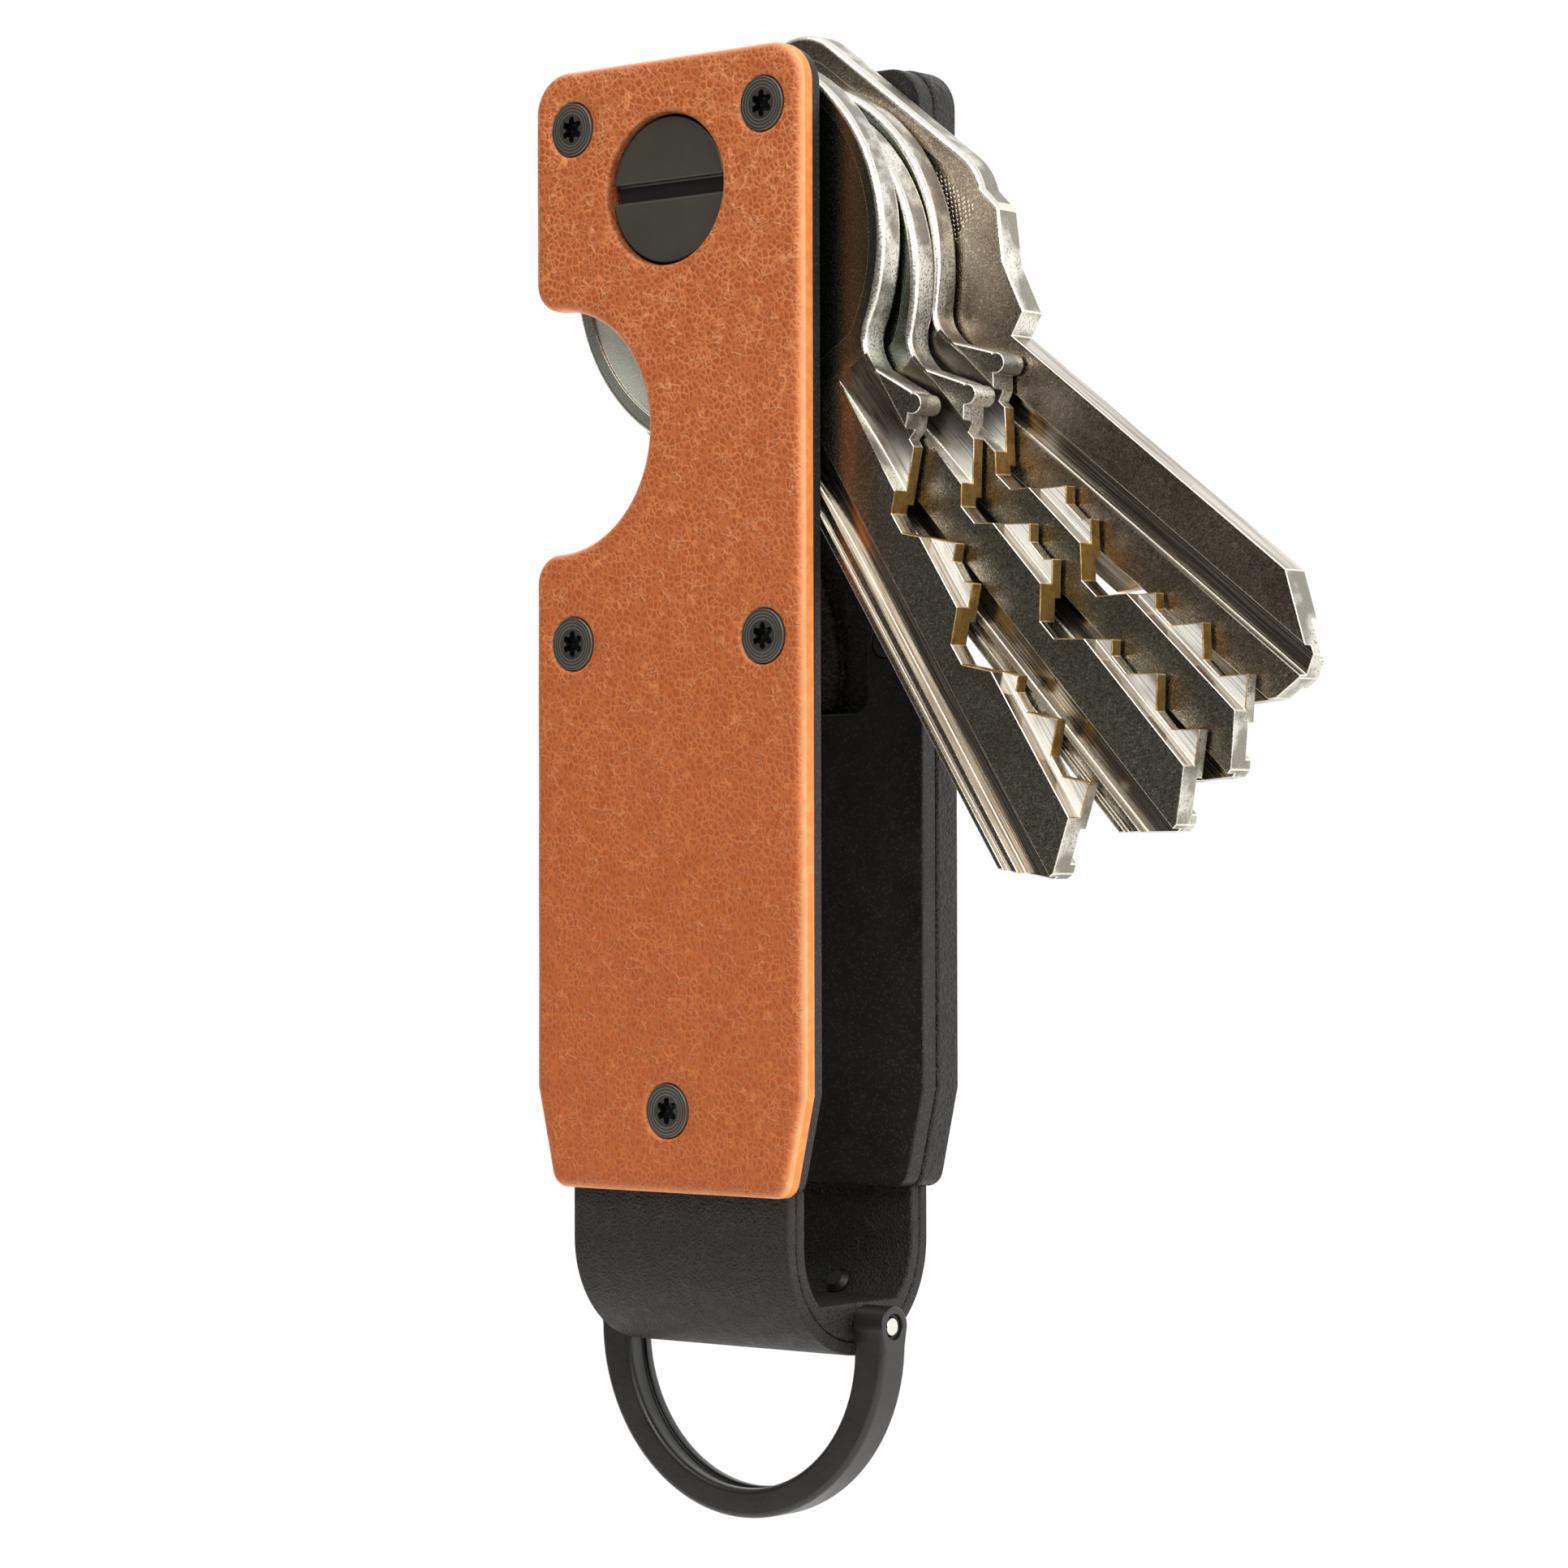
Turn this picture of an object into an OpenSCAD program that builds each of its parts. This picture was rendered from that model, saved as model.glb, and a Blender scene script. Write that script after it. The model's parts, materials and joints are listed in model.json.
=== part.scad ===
// Leather-faced key organiser: two panels joined by a pivot at the top and a strap loop
// at the foot, four keys fanned out between them and a D-ring hung in the strap.
// X is the width, -Y the front face, +Z the length. The origin is the middle of the
// back cover's outer face.

/* [Case] */
// Width of both panels
case_w = 22.4; // [21:0.1:24]
// Length of both panels
case_h = 72; // [70:0.5:76]
// Radius of the two top corners
corner_r = 2.6; // [1.5:0.1:3.4]
// Width of the panels at their foot
foot_w = 19.5; // [19.1:0.1:20.4]
// Length of the taper above the foot
taper_h = 6.45; // [5:0.05:8]
// Radius of the two foot corners
foot_r = 1.2; // [0.6:0.1:2]

/* [Layers] */
// Thickness of the front leather
front_leather_t = 1.3; // [1.2:0.05:1.5]
// Thickness of the front plate
front_plate_t = 0.85; // [0.8:0.05:1]
// Thickness of the back plate
back_plate_t = 1.45; // [1.2:0.05:1.6]
// Thickness of the back leather cover
back_leather_t = 2.2; // [2.15:0.05:2.4]

/* [Finger scoop] */
// Radius of the scoop in the left edge
scoop_r = 7.87; // [6.5:0.01:8.2]
// Distance of the scoop's centre below the pivot
scoop_drop = 14.95; // [14.5:0.05:16]
// Distance of the scoop's centre from the middle of the case
scoop_x = 9.4; // [9:0.1:10.5]
// Radius of the lips where the scoop meets the edge
lip_r = 1.9; // [1:0.1:2.4]

/* [Pivot] */
// Distance of the pivot below the top edge
pivot_drop = 8.35; // [8:0.05:9]
// Radius of the window in each leather round the pivot heads
head_window_r = 4.82; // [4.75:0.01:5]
// Radius of the two pivot heads
head_r = 4.65; // [4.4:0.05:4.7]
// Depth of the pivot heads below the leather
head_recess = 0.5; // [0.3:0.05:0.6]
// Width of the coin slot
slot_w = 1.2; // [1:0.1:1.6]
// Radius of the barrel that the keys turn on
barrel_r = 2.5; // [2.3:0.05:2.6]
// Radius of the pivot screw's shank
shank_r = 1.6; // [1.4:0.05:1.7]
// Radial clearance of everything that turns
running_gap = 0.06; // [0.03:0.01:0.09]

/* [Keys] */
// Thickness of a key
key_t = 2.1; // [2:0.05:2.15]
// Room between two neighbouring keys
shim_room = 0.25; // [0.2:0.01:0.26]
// Room in front of the first key
front_washer_room = 0.65; // [0.5:0.05:0.7]
// Room behind the last key
back_washer_room = 0.35; // [0.3:0.05:0.4]
// Angles of the four keys from straight down, front key first
key_angles = [32.9, 43, 47.1, 52.6];
// How far each round key lies along itself and across itself from the middle of its hole
key_shift = [[0, 0], [2.1, -1.8], [1.3, -1.7]];

/* [Strap and ring] */
// Width of the strap
strap_w = 18; // [16:0.5:18]
// Thickness of one of the strap's two layers
strap_layer_t = 0.85; // [0.7:0.05:0.9]
// Distance of the strap's bend centre below the foot of the case
bend_drop = 3.25; // [2.5:0.05:4]
// Outer radius of the D-ring
ring_r = 11.85; // [11.7:0.05:12.5]
// Width of the D-ring's section
ring_w = 2.4; // [2:0.1:2.4]
// Thickness of the D-ring
ring_t = 2.5; // [2.2:0.1:2.8]
// Radius of the ring's pin
pin_r = 0.58; // [0.5:0.01:0.6]

/* [Screws] */
// Radius of a cover screw's head
screw_head_r = 1.7; // [1.6:0.05:1.75]
// Radius of a cover screw's shank
screw_shank_r = 1; // [0.8:0.05:1]

/* [Hidden] */
$fn = 96;
// Faces of the layers, from the back outwards to the front
y_plate_back = -back_leather_t;
y_gap_back = y_plate_back - back_plate_t;
gap = front_washer_room + 4 * key_t + 3 * shim_room + back_washer_room;
y_gap_front = y_gap_back - gap;
y_leather_front = y_gap_front - front_plate_t;
y_front = y_leather_front - front_leather_t;
// Heights
z_top = case_h / 2;
z_foot = -case_h / 2;
z_pivot = z_top - pivot_drop;
z_scoop = z_pivot - scoop_drop;
// Play left on each flat face of a washer, and of a shank in its hole
play = 0.02;
hole_gap = 0.05;
// Cover screws: two rows of two, and one low in the middle
screw_x = 7.98;
screw_spots = [
    [-screw_x, z_pivot + 4.57], [screw_x, z_pivot + 4.57],
    [-screw_x, z_pivot - 28.66], [screw_x, z_pivot - 28.66]
];
low_screw = [0, z_pivot - 58.46];
screw_sink = 0.12;
screw_rim_t = 0.3;
screw_cone_t = 0.7;
// Strap: its bend is a half circle seen from the side
strap_out_r = (-y_leather_front - 0.5) / 2;
y_bend = y_leather_front + strap_out_r;
z_bend = z_foot - bend_drop;
z_tail = z_foot + 7.8;
z_lining_top = z_foot + 0.4;
lining_out_r = strap_out_r - strap_layer_t;
lining_in_r = lining_out_r - strap_layer_t;
floor_z = z_bend - 3.7;
z_pin = z_bend - 5.1;
pocket_r = 0.2;
rivet_x = 3.7;
rivet_r = 0.9;
rivet_turn = 34;
// Clamp bar behind the strap's front tail
clamp_t = 1.2;
clamp_w = 15;
clamp_h = 7.2;
// D-ring: its round outside and its slightly lower inside
z_ring = z_pin - 1.05;
z_ring_in = z_ring - 0.5;
ring_in_r = ring_r - ring_w;
groove_w = 1;
groove_d = 0.25;
eye_r = ring_t / 2 + 0.05;
// Window in the back plate, and the raised pad of the cover that fills part of it
window_x = [-0.9, 6.65];
window_z = [z_pivot - 33.15, z_pivot - 20.5];
window_r = 1.1;
pad_t = 0.5;
pad_r = 12.8;
pad_centre = [-9.4, z_pivot - 30];
// Key measures along the key (from the hole) and across it (from its middle line)
bow_r = 12.8;
bow_a = 4.9;
bow_rim = 1.1;
bow_field_d = 0.22;
boss_r = 5.6;
neck_p = 5.8;
neck_fillet = 2;
blade_top = 5;
blade_low = -3.7;
cutter_r = 30;
cut_first = 27.4;
cut_pitch = 4.7;
cut_flat = 0.75;
cut_roots = [2, 3.6, 1.4, 3.2, 3.25];
square_key_roots = [-3.1, -3.6, -2.9, -3.5];

// Stands a shape drawn in X and Z upright: its back face at y_hi, its front at y_hi - t
module upright(y_hi, t) {
    translate([0, y_hi, 0]) rotate([90, 0, 0]) linear_extrude(t) children();
}

// Round bar along Y from y_lo to y_hi
module bar_y(y_lo, y_hi, r) {
    translate([0, y_hi, 0]) rotate([90, 0, 0]) cylinder(r = r, h = y_hi - y_lo);
}

// Rectangle with round corners
module rounded_rect(lo, hi, r) {
    translate([lo[0] + r, lo[1]]) square([hi[0] - lo[0] - 2 * r, hi[1] - lo[1]]);
    translate([lo[0], lo[1] + r]) square([hi[0] - lo[0], hi[1] - lo[1] - 2 * r]);
    for (x = [lo[0] + r, hi[0] - r])
        for (z = [lo[1] + r, hi[1] - r]) translate([x, z]) circle(r);
}

// ---------- the two panels ----------

// Panel outline without the scoop
module panel_blank(inset) {
    w = case_w / 2 - inset;
    foot = foot_w / 2 - inset;
    top = z_top - inset;
    bottom = z_foot + inset;
    taper_a = atan((case_w - foot_w) / 2 / taper_h);
    foot_tan = foot_r / tan((90 + taper_a) / 2);
    for (side = [-1, 1]) {
        translate([side * (w - corner_r), top - corner_r]) circle(corner_r);
        translate([side * (foot - foot_tan), bottom + foot_r]) circle(foot_r);
    }
    right = [
        [foot - foot_tan, bottom],
        [foot + foot_tan * sin(taper_a), bottom + foot_tan * cos(taper_a)],
        [w, z_foot + taper_h],
        [w, top - corner_r],
        [w - corner_r, top]
    ];
    left = [for (i = [4:-1:0]) [-right[i][0], right[i][1]]];
    polygon(concat(right, left));
}

// Panel outline with the scoop and its two round lips
module panel_outline(inset = 0) {
    lip = lip_r - inset;
    lip_x = lip_r - case_w / 2;
    reach = sqrt(pow(scoop_r + lip_r, 2) - pow(scoop_x + lip_x, 2));
    difference() {
        panel_blank(inset);
        translate([-scoop_x, z_scoop]) circle(scoop_r + inset);
        translate([-case_w, z_scoop - reach]) square([case_w + lip_x, 2 * reach]);
    }
    for (side = [-1, 1]) translate([lip_x, z_scoop + side * reach]) circle(lip);
}

// Room for a countersunk screw that enters at depth y from the side dir (-1 front, 1 back)
module screw_room(spot, y, dir, length, clear) {
    head = screw_head_r + clear;
    shank = screw_shank_r + clear;
    rim = screw_rim_t;
    cone = screw_rim_t + screw_cone_t;
    translate([spot[0], y, spot[1]]) rotate([dir * 90, 0, 0]) rotate_extrude()
        polygon([[0, -1], [head, -1], [head, rim], [shank, cone], [shank, length], [0, length]]);
}

module front_leather_cover() {
    color("#b5602f") difference() {
        upright(y_leather_front, front_leather_t) panel_outline();
        translate([0, 0, z_pivot]) bar_y(y_front - 1, y_leather_front + 1, head_window_r);
        for (spot = concat(screw_spots, [low_screw]))
            screw_room(spot, y_front + screw_sink, -1, 3, hole_gap);
    }
}

module front_plate() {
    tail = strap_w / 2 + hole_gap;
    color("#1d1d1f") difference() {
        upright(y_gap_front, front_plate_t) panel_outline(0.1);
        translate([0, 0, z_pivot]) bar_y(y_leather_front - 1, y_gap_front + 1, shank_r + hole_gap);
        for (spot = screw_spots) translate([spot[0], 0, spot[1]])
            bar_y(y_leather_front - 1, y_gap_front + 1, screw_shank_r + hole_gap);
        upright(y_gap_front + 1, front_plate_t + 2) rounded_rect(
            [-tail, z_foot - 4], [tail, z_tail + hole_gap], pocket_r);
    }
}

// Bar inside the case that the low front screw pulls against the strap's tail
module strap_clamp_bar() {
    color("#2a2a2c") difference() {
        upright(y_gap_front + clamp_t, clamp_t) rounded_rect(
            [-clamp_w / 2, low_screw[1] - clamp_h / 2 - 0.5],
            [clamp_w / 2, low_screw[1] + clamp_h / 2 - 0.5], 1);
        translate([low_screw[0], 0, low_screw[1]])
            bar_y(y_gap_front - 1, y_gap_front + clamp_t + 1, screw_shank_r + hole_gap);
    }
}

module back_plate() {
    color("#1b1b1d") difference() {
        upright(y_plate_back, back_plate_t) panel_outline(0.1);
        translate([0, 0, z_pivot]) bar_y(y_gap_back - 1, y_plate_back + 1, barrel_r + hole_gap);
        for (spot = concat(screw_spots, [low_screw])) translate([spot[0], 0, spot[1]])
            bar_y(y_gap_back - 1, y_plate_back + 1, screw_shank_r + hole_gap);
        upright(y_plate_back + 1, back_plate_t + 2) rounded_rect(
            [window_x[0], window_z[0]], [window_x[1], window_z[1]], window_r);
    }
}

module back_leather_cover() {
    tail = strap_w / 2 + hole_gap;
    pocket_t = 2 * strap_layer_t + play;
    color("#202022") difference() {
        union() {
            upright(0, back_leather_t) panel_outline();
            upright(y_plate_back, pad_t) intersection() {
                translate(pad_centre) circle(pad_r);
                rounded_rect([window_x[0] + 0.1, window_z[0] + 0.1],
                    [window_x[1] - 0.1, window_z[1] - 0.1], window_r - 0.1);
            }
        }
        translate([0, 0, z_pivot]) bar_y(y_plate_back - 1, 1, head_window_r);
        for (spot = concat(screw_spots, [low_screw]))
            screw_room(spot, -screw_sink, 1, 4, hole_gap);
        upright(y_plate_back + pocket_t, pocket_t + 1) rounded_rect(
            [-tail, z_foot - 4], [tail, z_tail + hole_gap], pocket_r);
    }
}

// ---------- strap ----------

// Half circle band seen from the side, swept across the strap's width
module strap_bend(out_r, in_r) {
    intersection() {
        translate([-strap_w / 2, y_bend, z_bend]) rotate([0, 90, 0]) difference() {
            cylinder(r = out_r, h = strap_w);
            translate([0, 0, -1]) cylinder(r = in_r, h = strap_w + 2);
        }
        translate([-strap_w, y_bend - 2 * out_r, z_bend - 2 * out_r])
            cube([2 * strap_w, 4 * out_r, 2 * out_r]);
    }
}

// Straight tail of a layer whose front face is at y_lo, from the bend up to z_hi
module strap_tail(y_lo, z_hi) {
    translate([-strap_w / 2, y_lo, z_bend]) cube([strap_w, strap_layer_t, z_hi - z_bend]);
}

module strap_outer() {
    color("#262628") difference() {
        union() {
            strap_bend(strap_out_r, lining_out_r);
            strap_tail(y_bend - strap_out_r, z_tail);
            strap_tail(y_bend + lining_out_r, z_tail);
        }
        translate([low_screw[0], 0, low_screw[1]])
            bar_y(y_front - 1, 1, screw_shank_r + hole_gap);
        screw_room(low_screw, -screw_sink, 1, 4, hole_gap);
        rivet_shanks(rivet_r * 0.6 + hole_gap);
    }
}

// Inner layer; its bottom is a flat floor over the tunnel for the ring's pin
module strap_lining() {
    color("#1e1e20") difference() {
        union() {
            strap_bend(lining_out_r, lining_in_r);
            strap_tail(y_bend - lining_out_r, z_lining_top);
            strap_tail(y_bend + lining_in_r, z_tail);
            intersection() {
                translate([-strap_w / 2, y_bend, z_bend]) rotate([0, 90, 0])
                    cylinder(r = lining_out_r, h = strap_w);
                translate([-strap_w, y_bend - lining_out_r, z_bend - 2 * lining_out_r])
                    cube([2 * strap_w, 2 * lining_out_r, floor_z - z_bend + 2 * lining_out_r]);
            }
        }
        translate([-strap_w, y_bend, z_pin]) rotate([0, 90, 0])
            cylinder(r = pin_r + running_gap, h = 2 * strap_w);
        translate([low_screw[0], 0, low_screw[1]])
            bar_y(y_plate_back - 1, 1, screw_shank_r + hole_gap);
        rivet_shanks(rivet_r * 0.6 + hole_gap);
    }
}

// Places a rivet's axis, pointing outwards through the back of the bend
module at_rivets() {
    for (side = [-1, 1]) translate([side * rivet_x, y_bend, z_bend])
        rotate([-90 - rivet_turn, 0, 0]) children();
}

module rivet_shanks(r) {
    at_rivets() translate([0, 0, lining_in_r - 1.5]) cylinder(r = r, h = 5);
}

// Two small rivets that hold the layers together behind the pin
module strap_rivets() {
    color("#151517") at_rivets() {
        translate([0, 0, lining_in_r - 0.1]) cylinder(r = rivet_r * 0.6, h = 2 * strap_layer_t);
        translate([0, 0, lining_in_r - 0.5]) cylinder(r1 = rivet_r * 0.6, r2 = rivet_r, h = 0.3);
        translate([0, 0, lining_in_r - 0.2]) cylinder(r = rivet_r, h = 0.12);
    }
}

// ---------- pivot ----------

// Slotted male screw: its head lies on the front plate, its shank runs in the barrel
module pivot_screw() {
    head_t = front_leather_t - head_recess;
    color("#232325") translate([0, 0, z_pivot]) difference() {
        union() {
            bar_y(y_leather_front - head_t, y_leather_front, head_r);
            bar_y(y_leather_front - 0.1, y_leather_front + 9, shank_r);
        }
        translate([-head_r - 1, y_leather_front - head_t - 1, -slot_w / 2])
            cube([2 * head_r + 2, 1.5, slot_w]);
    }
}

// Female barrel: its head lies on the back plate, its tube carries the keys
module pivot_barrel() {
    head_t = back_leather_t - head_recess;
    tube_front = y_gap_front + hole_gap;
    color("#232325") translate([0, 0, z_pivot]) difference() {
        union() {
            bar_y(y_plate_back, y_plate_back + head_t, head_r);
            bar_y(tube_front, y_plate_back + 0.1, barrel_r);
        }
        bar_y(tube_front - 1, y_leather_front + 9.4, shank_r + hole_gap);
    }
}

// Flat ring round the barrel that fills the room from y_lo to y_hi
module washer(y_lo, y_hi, r) {
    translate([0, 0, z_pivot]) difference() {
        bar_y(y_lo + play, y_hi - play, r);
        bar_y(y_lo - 1, y_hi + 1, barrel_r + hole_gap);
    }
}

// Front face of key number i, counted from 0
function key_front(i) = y_gap_front + front_washer_room + i * (key_t + shim_room);

module friction_washer_front() {
    color("#8d8f90") washer(y_gap_front, key_front(0), 5);
}

module friction_washer_back() {
    color("#8d8f90") washer(key_front(3) + key_t, y_gap_back, 5);
}

module shim(i) {
    color("#18181a") washer(key_front(i) - shim_room, key_front(i), 4.6);
}

module shim_1() { shim(1); }
module shim_2() { shim(2); }
module shim_3() { shim(3); }

// ---------- keys ----------
// A key is drawn hanging straight down from its hole, its front face at y = 0.

// Slot that a disc cutter leaves: full depth below run_a, running out in an arc above it
module milled(p_lo, p_hi, depth, run_a, back = false) {
    y_floor = back ? key_t - depth : depth;
    dir = back ? 1 : -1;
    translate([p_lo, y_floor + dir * cutter_r, -run_a]) rotate([0, 90, 0])
        cylinder(r = cutter_r, h = p_hi - p_lo, $fn = 180);
    translate([p_lo, back ? y_floor : y_floor - 2, -60 - run_a]) cube([p_hi - p_lo, 2, 60]);
}

// One V-shaped cut with a flat root, on the upper or the lower edge of a blade
module bitting_cut(a, root, side) {
    top = side * 8;
    run = abs(top - root);
    polygon([[root, -a + cut_flat], [root, -a - cut_flat],
        [top, -a - cut_flat - run], [top, -a + cut_flat + run]]);
}

module round_key_outline() {
    fillet_p = neck_p + neck_fillet;
    fillet_a = bow_a + sqrt(pow(bow_r + neck_fillet, 2) - pow(fillet_p, 2));
    share = bow_r / (bow_r + neck_fillet);
    translate([0, -bow_a]) circle(bow_r, $fn = 180);
    touch = [-fillet_p * share, -bow_a - (fillet_a - bow_a) * share];
    inside = neck_p - 1;
    for (side = [0, 1]) mirror([side, 0]) difference() {
        polygon([[-inside, -bow_a - 9], touch, [-fillet_p, -fillet_a], [-inside, -fillet_a]]);
        translate([-fillet_p, -fillet_a]) circle(neck_fillet - 0.03);
    }
    translate([7, -21.95]) circle(0.65);
    difference() {
        polygon([[-neck_p, -13], [-neck_p, -19], [blade_low, -23], [blade_low, -48.9],
            [-0.4, -51.95], [0.2, -51.95], [blade_top, -48.2], [blade_top, -23.1],
            [7, -22.6], [7.6, -21.7], [neck_p, -18.3], [neck_p, -13]]);
        for (i = [0:4]) bitting_cut(cut_first + i * cut_pitch, cut_roots[i], 1);
    }
}

module round_key(i) {
    off = [key_shift[i][1], 0, -key_shift[i][0]];
    difference() {
        translate(off) upright(key_t, key_t) round_key_outline();
        for (y = [-1, key_t - bow_field_d]) difference() {
            translate(off) difference() {
                translate([0, 0, -bow_a]) bar_y(y, y + 1 + bow_field_d, bow_r - bow_rim);
                translate([-neck_p, y - 1, -bow_a - bow_r - 1]) cube([2 * neck_p, 4, 3.4]);
            }
            bar_y(y - 1, y + 3, boss_r);
        }
        bar_y(-1, key_t + 1, barrel_r + running_gap);
        translate(off) {
            milled(3, 5.7, 1.15, 25.4);
            milled(-1.95, -0.15, 0.8, 26.6);
            milled(-2.75, -2.35, 0.35, 26);
            milled(blade_low - 0.6, -3.1, 1.1, 26.2);
            milled(0.7, 2.4, 0.55, 26, true);
            milled(-2.3, -1.3, 0.5, 26, true);
        }
    }
}

module square_key_outline() {
    translate([0, -4.9]) rounded_rect([-11.3, -11.3], [11.3, 10.6], 4.2);
    difference() {
        polygon([[-9.6, -13], [-7.6, -18.4], [-4.2, -22], [-4.2, -49.4], [-2.2, -51.6],
            [-0.3, -52.2], [1.2, -51.8], [4.3, -47.5], [4.3, -22.1], [6, -21.9],
            [6.5, -20.9], [7.5, -18.9], [10.2, -16.2], [10.6, -13]]);
        for (i = [0:3]) bitting_cut(cut_first + 1.6 + i * 5.4, square_key_roots[i], -1);
    }
}

module square_key() {
    difference() {
        upright(key_t, key_t) square_key_outline();
        for (y = [-1, key_t - bow_field_d]) difference() {
            upright(y + 1 + bow_field_d, 1 + bow_field_d) translate([0, -4.9])
                rounded_rect([-9.9, -9.9], [9.9, 9.2], 3.4);
            upright(y + 3, 5) translate([0, -4.9]) rounded_rect([-8.4, -8.4], [8.4, 7.7], 2.6);
        }
        bar_y(-1, key_t + 1, barrel_r + running_gap);
        milled(-0.1, 1.5, 0.7, 27);
        milled(-5, -2.6, 0.9, 26.4);
        milled(0.9, 2.5, 0.6, 26.5, true);
        milled(-2.4, -1.2, 0.6, 26.5, true);
    }
}

// Hangs key number i on the pivot at its own angle
module placed_key(i) {
    translate([0, key_front(i), z_pivot]) rotate([0, -key_angles[i], 0]) children();
}

module key_1() { color("#a9a69c") placed_key(0) round_key(0); }
module key_2() { color("#a19d92") placed_key(1) round_key(1); }
module key_3() { color("#98948a") placed_key(2) round_key(2); }
module key_4() { color("#8e877c") placed_key(3) square_key(); }

// ---------- ring ----------

// Round opening of the ring, with straight sides that go up by rise
module ring_opening(r, rise) {
    translate([0, z_ring_in]) circle(r, $fn = 180);
    translate([-r, z_ring_in]) square([2 * r, rise]);
}

module d_ring() {
    color("#19191b") difference() {
        union() {
            upright(y_bend + ring_t / 2, ring_t) difference() {
                union() {
                    translate([0, z_ring]) circle(ring_r, $fn = 180);
                    translate([-ring_r, z_ring]) square([2 * ring_r, z_pin - z_ring]);
                }
                ring_opening(ring_in_r, 2 * ring_r);
                translate([-ring_r, z_pin]) square(2 * ring_r);
            }
            intersection() {
                for (x = [-ring_r, ring_r - ring_w]) translate([x, y_bend, z_pin])
                    rotate([0, 90, 0]) cylinder(r = eye_r, h = ring_w);
                translate([-2 * ring_r, y_bend - ring_t, z_pin - 0.6 * eye_r])
                    cube([4 * ring_r, 2 * ring_t, 2 * ring_t]);
            }
        }
        upright(y_bend + groove_w / 2, groove_w) ring_opening(ring_in_r + groove_d, 0.4);
        translate([-20, y_bend, z_pin]) rotate([0, 90, 0])
            cylinder(r = pin_r + hole_gap, h = 40);
        for (x = [-ring_r - 1, ring_r - 0.35]) translate([x, y_bend, z_pin])
            rotate([0, 90, 0]) cylinder(r = pin_r + 0.24, h = 1.35);
    }
}

module ring_pin() {
    half = ring_r - 0.15;
    color("#c9c8c4") translate([-half, y_bend, z_pin]) rotate([0, 90, 0])
        cylinder(r = pin_r, h = 2 * half);
}

// ---------- cover screws ----------

// Six-lobed socket drawn flat
module socket_2d() {
    circle(0.6);
    for (i = [0:5]) rotate(i * 60 + 30) translate([0.62, 0]) circle(0.24, $fn = 32);
}

// Countersunk screw whose head is at depth y on the side dir
module cover_screw(spot, y, dir, length) {
    cone = screw_rim_t + screw_cone_t;
    translate([spot[0], y, spot[1]]) rotate([dir * 90, 0, 0]) difference() {
        rotate_extrude() polygon([[0, 0], [screw_head_r, 0], [screw_head_r, screw_rim_t],
            [screw_shank_r, cone], [screw_shank_r, length], [0, length]]);
        translate([0, 0, -1]) linear_extrude(1.65) socket_2d();
    }
}

module front_cover_screws() {
    panel_t = front_leather_t + front_plate_t - screw_sink - hole_gap;
    color("#1c1c1e") {
        for (spot = screw_spots) cover_screw(spot, y_front + screw_sink, -1, panel_t);
        cover_screw(low_screw, y_front + screw_sink, -1, panel_t + clamp_t);
    }
}

module back_cover_screws() {
    panel_t = back_leather_t + back_plate_t - screw_sink - hole_gap;
    color("#1c1c1e") for (spot = concat(screw_spots, [low_screw]))
        cover_screw(spot, -screw_sink, 1, panel_t);
}

front_leather_cover();
front_plate();
strap_clamp_bar();
back_plate();
back_leather_cover();
strap_outer();
strap_lining();
strap_rivets();
pivot_screw();
pivot_barrel();
friction_washer_front();
shim_1();
shim_2();
shim_3();
friction_washer_back();
key_1();
key_2();
key_3();
key_4();
d_ring();
ring_pin();
front_cover_screws();
back_cover_screws();
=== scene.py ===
import json
import math

import bmesh
import bpy
import numpy as np
from mathutils import Matrix, Vector
from mathutils.geometry import delaunay_2d_cdt


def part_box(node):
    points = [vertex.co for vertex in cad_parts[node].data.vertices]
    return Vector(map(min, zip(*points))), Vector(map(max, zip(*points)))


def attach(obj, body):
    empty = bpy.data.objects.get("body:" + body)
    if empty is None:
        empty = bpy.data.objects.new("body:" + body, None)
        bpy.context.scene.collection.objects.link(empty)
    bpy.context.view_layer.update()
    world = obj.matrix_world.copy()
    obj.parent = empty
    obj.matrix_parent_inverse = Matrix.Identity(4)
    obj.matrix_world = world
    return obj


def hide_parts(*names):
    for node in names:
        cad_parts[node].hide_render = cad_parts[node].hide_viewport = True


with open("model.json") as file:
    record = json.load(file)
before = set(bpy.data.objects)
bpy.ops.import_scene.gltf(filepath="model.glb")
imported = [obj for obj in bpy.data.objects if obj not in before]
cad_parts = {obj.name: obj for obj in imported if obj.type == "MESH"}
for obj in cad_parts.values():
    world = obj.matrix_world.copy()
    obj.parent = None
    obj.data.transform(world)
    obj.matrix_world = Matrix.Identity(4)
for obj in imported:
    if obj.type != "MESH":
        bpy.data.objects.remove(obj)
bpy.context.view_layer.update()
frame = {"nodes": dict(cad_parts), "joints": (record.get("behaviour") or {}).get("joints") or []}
MM = 0.001

# ---------- front leather cover ----------
# A die-cut sheet of tan pebbled leather, its edge sanded round and painted. It is glued to
# the front plate under five small screws; a round window leaves the pivot's head free.


def millimetres(node):
    """Lowest and highest corner of a CAD node, in millimetres, as arrays."""
    low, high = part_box(node)
    return np.array(low) / MM, np.array(high) / MM


def arc(centre, radius, start, end, step=0.12):
    """Points (cx + r cos t, cz + r sin t), t going from start to end degrees."""
    count = max(4, int(abs(math.radians(end - start)) * radius / step))
    t = np.radians(np.linspace(start, end, count))
    return np.column_stack([centre[0] + radius * np.cos(t), centre[1] + radius * np.sin(t)])


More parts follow.
